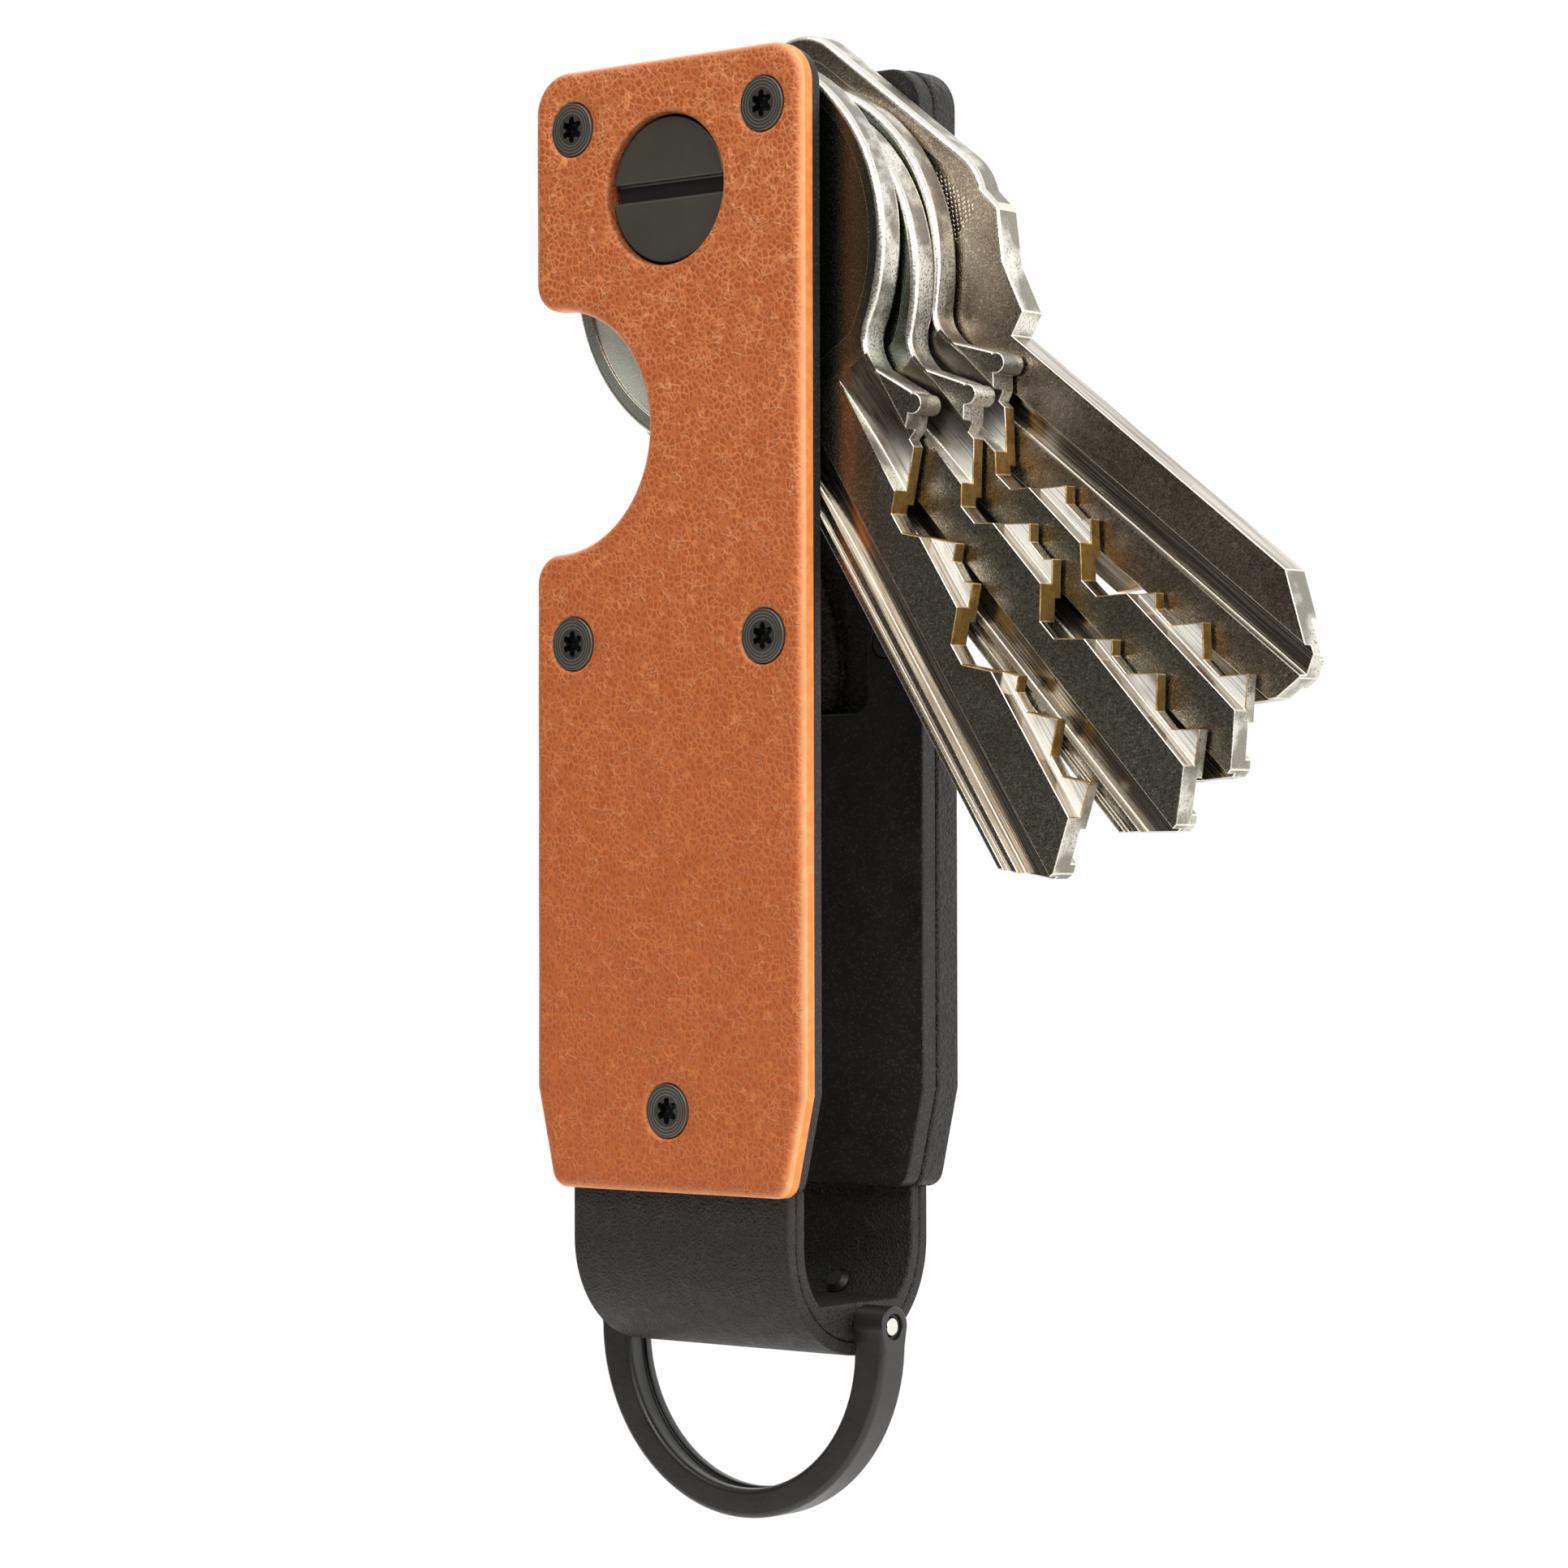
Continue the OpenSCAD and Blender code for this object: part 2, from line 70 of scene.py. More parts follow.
def evened(corners, step):
    """The closed line through the corners, as points at equal distances of about step."""
    closed = np.vstack([corners, corners[:1]])
    run = np.append(0, np.cumsum(np.linalg.norm(np.diff(closed, axis=0), axis=1)))
    at = np.linspace(0, run[-1], int(round(run[-1] / step)), endpoint=False)
    return np.column_stack([np.interp(at, run, closed[:, i]) for i in (0, 1)])


def pushed(loop, distance):
    """An anticlockwise loop moved outwards along its normals (dz, -dx) / length."""
    run = np.roll(loop, -1, 0) - np.roll(loop, 1, 0)
    normal = np.column_stack([run[:, 1], -run[:, 0]])
    return loop + normal / np.linalg.norm(run, axis=1)[:, None] * distance


def enclosed(a, b, points):
    """Which points lie inside closed lines whose edges run from a to b, by counting the
    edges to the right of each point."""
    z = points[:, 1, None]
    spans = (a[:, 1] > z) != (b[:, 1] > z)
    with np.errstate(divide="ignore", invalid="ignore"):
        x = a[:, 0] + (z - a[:, 1]) * (b[:, 0] - a[:, 0]) / (b[:, 1] - a[:, 1])
    return (np.sum(spans & (points[:, 0, None] < x), axis=1) % 2) == 1


def inside(loop, points):
    """Which points lie inside a closed loop."""
    return enclosed(loop, np.roll(loop, -1, 0), points)


def nearest(loop, points):
    """Distance of each point from the closest point of a loop."""
    return np.sqrt(((points[:, None, :] - loop[None]) ** 2).sum(2)).min(1)


def filled(loops, spacing=None):
    """Triangles that fill the first loop round the others, on a staggered grid of points
    (i s + j s / 2, j s sqrt(3) / 2). Returns the grid points and the triangles, whose
    numbers count through the loops and then the grid points."""
    grid = np.zeros((0, 2))
    if spacing:
        low, high = loops[0].min(0), loops[0].max(0)
        rows = np.arange(low[1], high[1], spacing * 0.866)
        columns = np.arange(low[0], high[0], spacing)
        x = columns[None, :] + (np.arange(len(rows)) % 2)[:, None] * spacing / 2
        grid = np.column_stack([x.ravel(), np.repeat(rows, len(columns))])
        keep = inside(loops[0], grid)
        for hole in loops[1:]:
            keep &= ~inside(hole, grid)
        grid = grid[keep]
        grid = grid[nearest(np.vstack(loops), grid) > spacing * 0.55]
    first = np.cumsum([0] + [len(loop) for loop in loops])
    edges = [
        np.column_stack([s + np.arange(len(l)), s + (np.arange(len(l)) + 1) % len(l)])
        for s, l in zip(first, loops)
    ]
    points = np.vstack([*loops, grid])
    made = delaunay_2d_cdt(
        list(map(Vector, points.tolist())), np.vstack(edges).tolist(), [], 0, 1e-7, True
    )
    number = np.array([source[0] for source in made[3]])
    triangles = number[np.array(made[2])]
    middle = points[triangles].mean(1)
    keep = inside(loops[0], middle)
    for hole in loops[1:]:
        keep &= ~inside(hole, middle)
    a = points[triangles[:, 1]] - points[triangles[:, 0]]
    b = points[triangles[:, 2]] - points[triangles[:, 0]]
    keep &= np.abs(a[:, 0] * b[:, 1] - a[:, 1] * b[:, 0]) > 1e-5
    return grid, triangles[keep]


def wrapped(first, second):
    """Quads between two closed rows of vertex numbers."""
    return np.column_stack([first, np.roll(first, -1), np.roll(second, -1), second]).tolist()


def set_in_place(name, mesh, body, nodes):
    """The object of a finished mesh, riding on a body in the place of CAD nodes."""
    piece = bpy.data.objects.new(name, mesh)
    bpy.context.scene.collection.objects.link(piece)
    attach(piece, body)
    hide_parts(*nodes)
    return piece


def finished(name, mesh, body, nodes, materials, sharp=35):
    """The object of a closed mesh: its normals turned outwards, smooth apart from edges
    over sharp degrees."""
    shell = bmesh.new()
    shell.from_mesh(mesh)
    bmesh.ops.recalc_face_normals(shell, faces=shell.faces[:])
    shell.to_mesh(mesh)
    shell.free()
    mesh.shade_smooth()
    mesh.set_sharp_from_angle(angle=math.radians(sharp))
    for material in materials:
        mesh.materials.append(material)
    return set_in_place(name, mesh, body, nodes)


def mesh_of(name, points, faces, **values):
    """A mesh of points in millimetres; values are numbers kept for each of its points."""
    mesh = bpy.data.meshes.new(name)
    mesh.from_pydata((points * MM).tolist(), [], faces)
    for key, value in values.items():
        kind = "FLOAT" if np.ndim(value) == 1 else "FLOAT_VECTOR"
        field = "value" if kind == "FLOAT" else "vector"
        mesh.attributes.new(key, kind, "POINT").data.foreach_set(field, np.ravel(value))
    return mesh


def panel_sheet(name, outline, holes, low_y, high_y, facing, face_round, back_round, relief):
    """Closed mesh of a cut sheet whose face looks along facing (-1 front, 1 back). Every
    edge is a quarter circle at the face and at the back, joined by a straight wall:
    inset r (1 - sin t), depth r (1 - cos t). The face is raised by relief(x, z)."""
    thick = high_y - low_y
    t = np.radians(np.linspace(0, 90, 7))
    loops, points, faces, paint, base = [outline, *holes], [], [], [], 0
    front, rear = [], []
    for index, loop in enumerate(loops):
        out = -1 if index == 0 else 1
        r = face_round if index == 0 else face_round * 0.55
        inset = np.concatenate([r * (1 - np.sin(t)), back_round * (1 - np.cos(t))])
        depth = np.concatenate([r * (1 - np.cos(t)), thick - back_round * (1 - np.sin(t))])
        rows = [pushed(loop, out * i) for i in inset]
        front.append((base, rows[0]))
        rear.append((base + (len(rows) - 1) * len(loop), rows[-1]))
        for row, d in zip(rows, depth):
            lift = relief(row) * max(0, 1 - d / thick)
            points.append(np.column_stack([row[:, 0], d - lift, row[:, 1]]))
            share = min(1, d / (r * 0.6)) if index == 0 else min(0.5, d / r)
            paint.append(np.full(len(row), share))
        numbers = base + np.arange(len(rows) * len(loop)).reshape(len(rows), -1)
        for a, b in zip(numbers[:-1], numbers[1:]):
            faces += wrapped(a, b)
        base += numbers.size
    for ends, spacing in ((front, 0.42), (rear, None)):
        grid, triangles = filled([row for _, row in ends], spacing)
        number = np.concatenate([s + np.arange(len(row)) for s, row in ends])
        number = np.append(number, base + np.arange(len(grid)))
        faces += number[triangles].tolist()
        if spacing:
            points.append(np.column_stack([grid[:, 0], -relief(grid), grid[:, 1]]))
            paint.append(np.zeros(len(grid)))
            base += len(grid)
    points = np.vstack(points)
    points[:, 1] = low_y + points[:, 1] if facing < 0 else high_y - points[:, 1]
    return mesh_of(name, points, faces, edge_paint=np.concatenate(paint))


def linear(red, green, blue):
    """A display colour, 0 to 255, as the linear colour that a shader takes."""
    c = np.array([red, green, blue]) / 255
    c = np.where(c > 0.04045, ((c + 0.055) / 1.055) ** 2.4, c / 12.92)
    return (*c.tolist(), 1)


def add(tree, kind, inputs=(), **settings):
    """A shader node; each input is a constant or the output that feeds it."""
    node = tree.nodes.new(kind if kind.startswith("Node") else "ShaderNode" + kind)
    for key, value in settings.items():
        setattr(node, key, value)
    for key, value in dict(inputs).items():
        if isinstance(value, bpy.types.NodeSocket):
            tree.links.new(value, node.inputs[key])
        else:
            node.inputs[key].default_value = value
    return node


def value(tree, operation, a, b=0.0, clamp=False):
    """The output of one sum on two numbers."""
    return add(tree, "Math", {0: a, 1: b}, operation=operation, use_clamp=clamp).outputs[0]


def between(tree, x, low, high, to_low=0.0, to_high=1.0):
    """x carried smoothly from low..high to to_low..to_high."""
    wanted = {"Value": x, "From Min": low, "From Max": high, "To Min": to_low, "To Max": to_high}
    return add(tree, "MapRange", wanted, interpolation_type="SMOOTHSTEP").outputs[0]


def mixed(tree, share, a, b):
    """Colour a going over to colour b by share."""
    return add(tree, "Mix", {0: share, 6: a, 7: b}, data_type="RGBA").outputs[2]


def noise(tree, place, scale, detail=2.0, roughness=0.5):
    """Soft noise with scale waves in a millimetre."""
    wanted = {"Vector": place, "Scale": scale, "Detail": detail, "Roughness": roughness}
    return add(tree, "TexNoise", wanted)


def stretched(tree, place, x, y, z):
    """Coordinates multiplied by x, y and z, which draws a texture out along the small ones."""
    wanted = {0: place, 1: (x, y, z)}
    return add(tree, "VectorMath", wanted, operation="MULTIPLY").outputs[0]


def new_group(name, inputs, outputs):
    """A node group; returns its tree, its inputs and a call that links an output."""
    tree = bpy.data.node_groups.new(name, "ShaderNodeTree")
    for side, sockets in (("INPUT", inputs), ("OUTPUT", outputs)):
        for socket, kind in sockets:
            tree.interface.new_socket(socket, in_out=side, socket_type="NodeSocket" + kind)
    start, end = add(tree, "NodeGroupInput"), add(tree, "NodeGroupOutput")
    return tree, start.outputs, lambda key, out: tree.links.new(out, end.inputs[key])


def use(tree, group, **inputs):
    """A group placed in a tree; returns its outputs."""
    node = tree.nodes.new("ShaderNodeGroup")
    node.node_tree = group
    for key, given in inputs.items():
        if isinstance(given, bpy.types.NodeSocket):
            tree.links.new(given, node.inputs[key])
        else:
            node.inputs[key].default_value = given
    return node.outputs


def shader(name, **settings):
    """A material: itself, its tree, its Principled shader and its place in millimetres."""
    material = bpy.data.materials.new(name)
    material.use_nodes = True
    tree = material.node_tree
    principled = tree.nodes["Principled BSDF"]
    for key, setting in settings.items():
        principled.inputs[key.replace("_", " ")].default_value = setting
    place = add(tree, "TexCoord").outputs["Object"]
    place = stretched(tree, place, 1000, 1000, 1000)
    return material, tree, principled, place


def feed(tree, principled, **outputs):
    """Links outputs to the Principled shader's sockets."""
    for key, out in outputs.items():
        tree.links.new(out, principled.inputs[key.replace("_", " ")])


def bumped(tree, height, depth, normal=None):
    """The normal of a surface raised by height times depth millimetres."""
    wanted = {"Height": height, "Distance": depth * MM}
    if normal:
        wanted["Normal"] = normal
    return add(tree, "Bump", wanted).outputs[0]


grain, given, gives = new_group(
    "pebbled_grain",
    [("Place", "Vector"), ("Cell", "Float"), ("Crease", "Float")],
    [("Height", "Float"), ("Creases", "Float"), ("Mottle", "Float")],
)
wander = noise(grain, given["Place"], 1.6, 2).outputs["Color"]
wander = add(grain, "VectorMath", {0: wander, 1: (0.5, 0.5, 0.5)}, operation="SUBTRACT").outputs[0]
wander = add(grain, "VectorMath", {0: wander, "Scale": 0.16}, operation="SCALE").outputs[0]
bent = add(grain, "VectorMath", {0: given["Place"], 1: wander}).outputs[0]
per_mm = value(grain, "DIVIDE", 1.0, given["Cell"])
cells = add(
    grain, "TexVoronoi", {"Vector": bent, "Scale": per_mm}, feature="DISTANCE_TO_EDGE"
).outputs["Distance"]
slanted = add(grain, "VectorRotate", {"Vector": bent, "Angle": 0.3}, rotation_type="Y_AXIS")
slanted = stretched(grain, slanted.outputs[0], 0.5, 1.0, 1.0)
folds = add(
    grain, "TexVoronoi", {"Vector": slanted, "Scale": value(grain, "MULTIPLY", per_mm, 0.8)},
    feature="DISTANCE_TO_EDGE",
).outputs["Distance"]


def vein(distance, width):
    """One on the edges between cells, falling to nothing at width."""
    wanted = {"Value": distance, "From Max": width, "To Min": 1.0, "To Max": 0.0}
    return add(grain, "MapRange", wanted, interpolation_type="SMOOTHSTEP").outputs[0]


faint = between(grain, noise(grain, given["Place"], 0.9, 2).outputs["Fac"], 0.38, 0.62, 0.25, 0.9)
bold = between(grain, noise(grain, bent, 0.7, 3, 0.6).outputs["Fac"], 0.46, 0.62)
creases = value(grain, "MULTIPLY", vein(cells, given["Crease"]), faint)
wrinkles = value(grain, "MULTIPLY", vein(folds, given["Crease"]), bold)
creases = value(grain, "MAXIMUM", creases, wrinkles)
soft = value(grain, "MULTIPLY", vein(cells, 0.3), 0.34)
creases = value(grain, "MAXIMUM", creases, soft)
pores = noise(grain, given["Place"], 7.0, 3, 0.6).outputs["Fac"]
domes = between(grain, cells, 0.0, 0.3)
height = value(grain, "ADD", value(grain, "MULTIPLY", pores, 0.2),
               value(grain, "MULTIPLY", wrinkles, 1.3))
gives("Height", value(grain, "ADD", domes, height))
gives("Creases", creases)
gives("Mottle", noise(grain, given["Place"], 1.1, 4, 0.65).outputs["Fac"])

pivot = np.array(frame["joints"][0]["pos_m"]) / MM
low, high = millimetres("front_leather_cover")
tan, tree, principled, place = shader("tan_pebbled_leather", Specular_IOR_Level=0.3)
leather = use(tree, grain, Place=place, Cell=0.46, Crease=0.14)
rim = add(tree, "Attribute", attribute_name="edge_paint").outputs["Fac"]
where = add(tree, "SeparateXYZ", {0: place}).outputs
# Painted light: the face, and most of all its creases, grow lighter towards the top as painted
# highlights of light from above. The creases' paler colour is partly the leather's own veins and
# partly painted highlight.
lit_from_above = between(tree, where["Z"], -25.0, 34.0)
face = mixed(tree, lit_from_above, linear(161, 79, 34), linear(164, 80, 34))
deep = mixed(tree, lit_from_above, linear(154, 73, 30), linear(156, 74, 30))
face = mixed(tree, between(tree, leather["Mottle"], 0.3, 0.72), deep, face)
lit = mixed(tree, lit_from_above, linear(194, 116, 62), linear(222, 150, 94))
face = mixed(tree, value(tree, "MULTIPLY", leather["Creases"], 0.62), face, lit)
uneven = noise(tree, place, 1.5, 3).outputs["Fac"]
coat = mixed(tree, between(tree, uneven, 0.4, 0.65), linear(212, 122, 54), linear(220, 134, 66))
# The edge coat is paler peach on the rounding next to the face and orange on the wall behind it.
edge_tone = mixed(tree, between(tree, uneven, 0.4, 0.65), linear(226, 148, 98), linear(232, 158, 108))
coat = mixed(tree, between(tree, where["Y"], low[1] + 0.55, low[1] + 0.62), edge_tone, coat)
# Painted shade: the coat on the window's wall round the pivot's head turns near black, as the shade
# in the gap.
centre = add(tree, "CombineXYZ", {"X": 0.0, "Y": where["Y"], "Z": pivot[2]}).outputs[0]
away = add(tree, "VectorMath", {0: place, 1: centre}, operation="DISTANCE").outputs["Value"]
coat = mixed(tree, between(tree, away, 4.86, 5.05), linear(26, 18, 14), coat)
feed(
    tree, principled, Base_Color=mixed(tree, rim, face, coat),
    Roughness=between(tree, leather["Mottle"], 0.3, 0.7, 0.42, 0.58),
    Normal=bumped(tree, value(tree, "MULTIPLY", leather["Height"],
                              between(tree, rim, 0.0, 1.0, 1.0, 0.06)), 0.05),
)

half_w, z_top, z_foot = high[0], high[2], low[2]
corner_r, foot_r, foot_half, taper_h = 2.6, 1.2, 9.75, 6.45
scoop_r, scoop_x, scoop_z, lip_r = 7.87, -9.4, pivot[2] - 14.95, 1.9
taper = math.degrees(math.atan((half_w - foot_half) / taper_h))
foot_in = foot_half - foot_r / math.tan(math.radians(90 + taper) / 2)
lip_x = lip_r - half_w
lean = math.degrees(math.asin((lip_x - scoop_x) / (scoop_r + lip_r)))
reach = (scoop_r + lip_r) * math.cos(math.radians(lean))
panel = evened(np.vstack([
    arc((foot_in, z_foot + foot_r), foot_r, -90, -taper),
    [[half_w, z_foot + taper_h]],
    arc((half_w - corner_r, z_top - corner_r), corner_r, 0, 90),
    arc((corner_r - half_w, z_top - corner_r), corner_r, 90, 180),
    arc((lip_x, scoop_z + reach), lip_r, 180, 270 - lean),
    arc((scoop_x, scoop_z), scoop_r, 90 - lean, lean - 90),
    arc((lip_x, scoop_z - reach), lip_r, 90 + lean, 180),
    [[-half_w, z_foot + taper_h]],
    arc((-foot_in, z_foot + foot_r), foot_r, 180 + taper, 270),
]), 0.28)
screw_x, window_r, hole_r = 7.98, 4.82, 1.75
screw_spots = [(s * screw_x, pivot[2] + z) for z in (4.57, -28.66) for s in (-1, 1)]
screw_spots.append((0, pivot[2] - 58.46))
window = arc((0, pivot[2]), window_r, 0, 360, 0.25)[:-1]
screw_holes = [arc(spot, hole_r, 0, 360, 0.15)[:-1] for spot in screw_spots]


def pressed(points):
    """Height of a leather face: low waves sin u sin v, sunk by a exp(-(d / w)^2) at the
    screws, at the pivot's window and along the outer edge."""
    x, z = points[:, 0], points[:, 1]
    lift = 0.025 * np.sin(0.55 * x + 0.31 * z + 1) * np.sin(0.23 * z - 0.4 * x) - 0.025
    for spot in screw_spots:
        lift -= 0.1 * np.exp(-((np.hypot(x - spot[0], z - spot[1]) - hole_r) / 0.55) ** 2)
    lift -= 0.05 * np.exp(-((np.hypot(x, z - pivot[2]) - window_r) / 0.5) ** 2)
    return lift - 0.09 * np.exp(-((nearest(panel, points) / 0.75) ** 2))


sheet = panel_sheet(
    "tan_leather_cover", panel, [window, *screw_holes], low[1], high[1], -1, 0.58, 0.06, pressed
)
finished("tan_leather_cover", sheet, "case", ["front_leather_cover"], [tan], 60)

# ---------- front plate, back plate and clamp bar ----------
# Laser-cut steel plates, deburred all round and powder coated in a fine matt black. The
# bar inside the foot is what the lowest front screw pulls the strap's tail against.


def flat_groups(points, corners, starts, totals, flat, kinds, normals):
    """Groups of flat polygons in one plane and of one kind that hold a many-sided one."""
    middle = points[corners[starts]]
    height = (middle * normals).sum(1)
    keys = np.column_stack([np.round(normals, 2), np.round(height, 2), kinds])
    keys[~flat] = 1e6
    _, group = np.unique(keys, axis=0, return_inverse=True)
    group = group.ravel()
    wanted = np.unique(group[flat & (totals > 4)])
    return [np.flatnonzero(flat & (group == g)) for g in wanted]


def refilled(points, ends, edge_of, starts, totals, group, normal):
    """The area inside the outer edges of a group of polygons in one plane, as triangles,
    worked out in the plane's own axes u and n x u. New points may be added at crossings."""
    loops = np.concatenate([np.arange(starts[i], starts[i] + totals[i]) for i in group])
    edges, uses = np.unique(edge_of[loops], return_counts=True)
    pairs = ends[edges[uses == 1]]
    used, pairs = np.unique(pairs, return_inverse=True)
    pairs = pairs.reshape(-1, 2)
    u = np.cross(normal, (0, 0, 1) if abs(normal[2]) < 0.9 else (1, 0, 0))
    u /= np.linalg.norm(u)
    v = np.cross(normal, u)
    origin = points[used[0]]
    flat = np.column_stack([(points[used] - origin) @ u, (points[used] - origin) @ v])
    made = delaunay_2d_cdt(
        list(map(Vector, flat.tolist())), pairs.tolist(), [], 0, 1e-6, True
    )
    where = np.array([tuple(p) for p in made[0]])
    fresh = np.array([not source for source in made[3]])
    number = np.array([source[0] if source else 0 for source in made[3]])
    number = used[number]
    number[fresh] = len(points) + np.arange(fresh.sum())
    added = origin + where[fresh, :1] * u + where[fresh, 1:] * v
    triangles = np.array(made[2])
    middle = where[triangles].mean(1)
    keep = enclosed(flat[pairs[:, 0]], flat[pairs[:, 1]], middle)
    return added, number[triangles[keep]]


def eased_copy(node, name, body, materials, width, segments=3, weight=None,
               assign=None, edge_kind=None, own=None):
    """A CAD node's shape with its triangles joined into flat faces and its edges over 30
    degrees rounded to width millimetres, times weight(middle of the edge) if given. The
    flat faces are then filled anew, and the normals are those of the larger faces."""
    mesh = frame["nodes"][node].data.copy()
    mesh.materials.clear()
    shell = bmesh.new()
    shell.from_mesh(mesh)
    same_point, same_plane, edge_turn = 0.035 * MM, math.radians(0.6), math.radians(30)
    bmesh.ops.remove_doubles(shell, verts=shell.verts[:], dist=same_point)
    bmesh.ops.dissolve_limit(
        shell, angle_limit=same_plane, verts=shell.verts[:], edges=shell.edges[:]
    )
    shell.to_mesh(mesh)
    shell.free()
    for material in [*materials, materials[0]]:
        mesh.materials.append(material)

    def read(owner, field, size, kind=np.float64):
        """One field of all of a mesh's vertices, edges, corners or faces, as an array."""
        values = np.zeros(len(owner) * size, kind)
        owner.foreach_get(field, values)
        return values.reshape(-1, size) if size > 1 else values

    points = read(mesh.vertices, "co", 3) / MM
    normals = read(mesh.polygons, "normal", 3)
    totals = read(mesh.polygons, "loop_total", 1, np.int32)
    edge_of = read(mesh.loops, "edge_index", 1, np.int32)
    ends = read(mesh.edges, "vertices", 2, np.int32)
    order = np.argsort(edge_of, kind="stable")
    face_of = np.repeat(np.arange(len(totals)), totals)[order]
    start = np.searchsorted(edge_of[order], np.arange(len(ends)))
    paired = np.bincount(edge_of, minlength=len(ends)) == 2
    other = np.minimum(start + 1, len(face_of) - 1)
    turn = (normals[face_of[start]] * normals[face_of[other]]).sum(1)
    weights = np.where(paired & (turn < math.cos(edge_turn)), 1.0, 0.0)
    if weight:
        weights *= weight(points[ends].mean(1))
    mesh.attributes.new("bevel_weight_edge", "FLOAT", "EDGE").data.foreach_set("value", weights)
    if assign:
        centres = read(mesh.polygons, "center", 3) / MM
        mesh.polygons.foreach_set("material_index", assign(centres, normals).astype(np.int32))
    spare = bpy.data.objects.new(name, mesh)
    bpy.context.scene.collection.objects.link(spare)
    rounding = spare.modifiers.new("rounding", "BEVEL")
    rounding.limit_method = "WEIGHT"
    rounding.width = width * MM
    rounding.segments = segments
    rounding.use_clamp_overlap = False
    rounding.material = len(materials)
    round_mesh = bpy.data.meshes.new_from_object(
        spare.evaluated_get(bpy.context.evaluated_depsgraph_get()))
    bpy.data.objects.remove(spare)

    points = read(round_mesh.vertices, "co", 3) / MM
    normals = read(round_mesh.polygons, "normal", 3)
    starts = read(round_mesh.polygons, "loop_start", 1, np.int32)
    totals = read(round_mesh.polygons, "loop_total", 1, np.int32)
    kinds = read(round_mesh.polygons, "material_index", 1, np.int32)
    corners = read(round_mesh.loops, "vertex_index", 1, np.int32)
    edge_of = read(round_mesh.loops, "edge_index", 1, np.int32)
    ends = read(round_mesh.edges, "vertices", 2, np.int32)
    flat = kinds < len(materials)
    kinds[~flat] = 0
    if edge_kind:
        centres = read(round_mesh.polygons, "center", 3) / MM
        kinds[~flat] = edge_kind(centres[~flat], normals[~flat])
    kept = np.ones(len(totals), bool)
    fills, fill_kinds = [], []
    for group in flat_groups(points, corners, starts, totals, flat, kinds, normals):
        largest = group[np.argmax(totals[group])]
        added, triangles = refilled(
            points, ends, edge_of, starts, totals, group, normals[largest])
        points = np.vstack([points, added])
        fills.append(triangles)
        fill_kinds.append(np.full(len(triangles), kinds[largest]))
        kept[group] = False
    faces = [corners[a:a + n].tolist() for a, n in zip(starts[kept], totals[kept])]
    faces += np.vstack([np.zeros((0, 3), int), *fills]).tolist()
    values = {"own_place": own(points)} if own else {}
    done = mesh_of(name, points, faces, **values)
    done.polygons.foreach_set(
        "material_index", np.concatenate([kinds[kept], *fill_kinds]).astype(np.int32))
    done.calc_loop_triangles()
    thirds = read(done.loop_triangles, "vertices", 3, np.int32)
    a, b, c = (points[thirds[:, i]] for i in range(3))
    area = np.cross(b - a, c - a)
    smooth = np.zeros((len(points), 3))
    for i in range(3):
        np.add.at(smooth, thirds[:, i], area)
    smooth /= np.maximum(np.linalg.norm(smooth, axis=1), 1e-12)[:, None]
    done.shade_smooth()
    done.normals_split_custom_set_from_vertices(smooth.tolist())
    for material in materials:
        done.materials.append(material)
    return set_in_place(name, done, body, [node])


speckle, given, gives = new_group(
    "speckle",
    [("Place", "Vector"), ("Size", "Float")],
    [("Height", "Float"), ("Flecks", "Float"), ("Cloud", "Float")],
)
per_mm = value(speckle, "DIVIDE", 1.0, given["Size"])
dots = add(speckle, "TexVoronoi", {"Vector": given["Place"], "Scale": per_mm})
fine = noise(speckle, given["Place"], 4.5, 3, 0.6).outputs["Fac"]
gives("Height", value(speckle, "ADD", dots.outputs["Distance"], fine))
gives("Flecks", between(speckle, add(speckle, "SeparateColor", {0: dots.outputs["Color"]})
                        .outputs[0], 0.8, 0.96))
gives("Cloud", noise(speckle, given["Place"], 0.35, 3).outputs["Fac"])

powder, tree, principled, place = shader("black_powder_coat", Specular_IOR_Level=0.3)
coat = use(tree, speckle, Place=place, Size=0.11)
dull = mixed(tree, coat["Cloud"], linear(19, 18, 17), linear(28, 26, 25))
feed(
    tree, principled,
    Base_Color=mixed(tree, value(tree, "MULTIPLY", coat["Flecks"], 0.5), dull, linear(66, 63, 60)),
    Roughness=between(tree, coat["Cloud"], 0.3, 0.7, 0.42, 0.55),
    Normal=bumped(tree, coat["Height"], 0.012),
)
eased_copy("front_plate", "front_powder_plate", "case", [powder], 0.09)
eased_copy("back_plate", "back_powder_plate", "case", [powder], 0.16)
eased_copy("strap_clamp_bar", "clamp_bar", "case", [powder], 0.1)

# ---------- back leather cover ----------
# The same sheet cut from thicker black leather, its edge sanded and painted black, with a
# pocket in its inner side for the strap's two tails and a raised pad behind the window.
dark, tree, principled, place = shader("black_pebbled_leather", Specular_IOR_Level=0.3)
leather = use(tree, grain, Place=place, Cell=0.42, Crease=0.16)
face = mixed(tree, leather["Mottle"], linear(17, 16, 14), linear(25, 23, 21))
face = mixed(tree, value(tree, "MULTIPLY", leather["Creases"], 0.7), face, linear(46, 43, 39))
feed(
    tree, principled, Base_Color=face,
    Roughness=between(tree, leather["Mottle"], 0.3, 0.7, 0.42, 0.55),
    Normal=bumped(tree, leather["Height"], 0.055),
)
eased_copy("back_leather_cover", "black_leather_cover", "case", [dark], 0.22, 4)

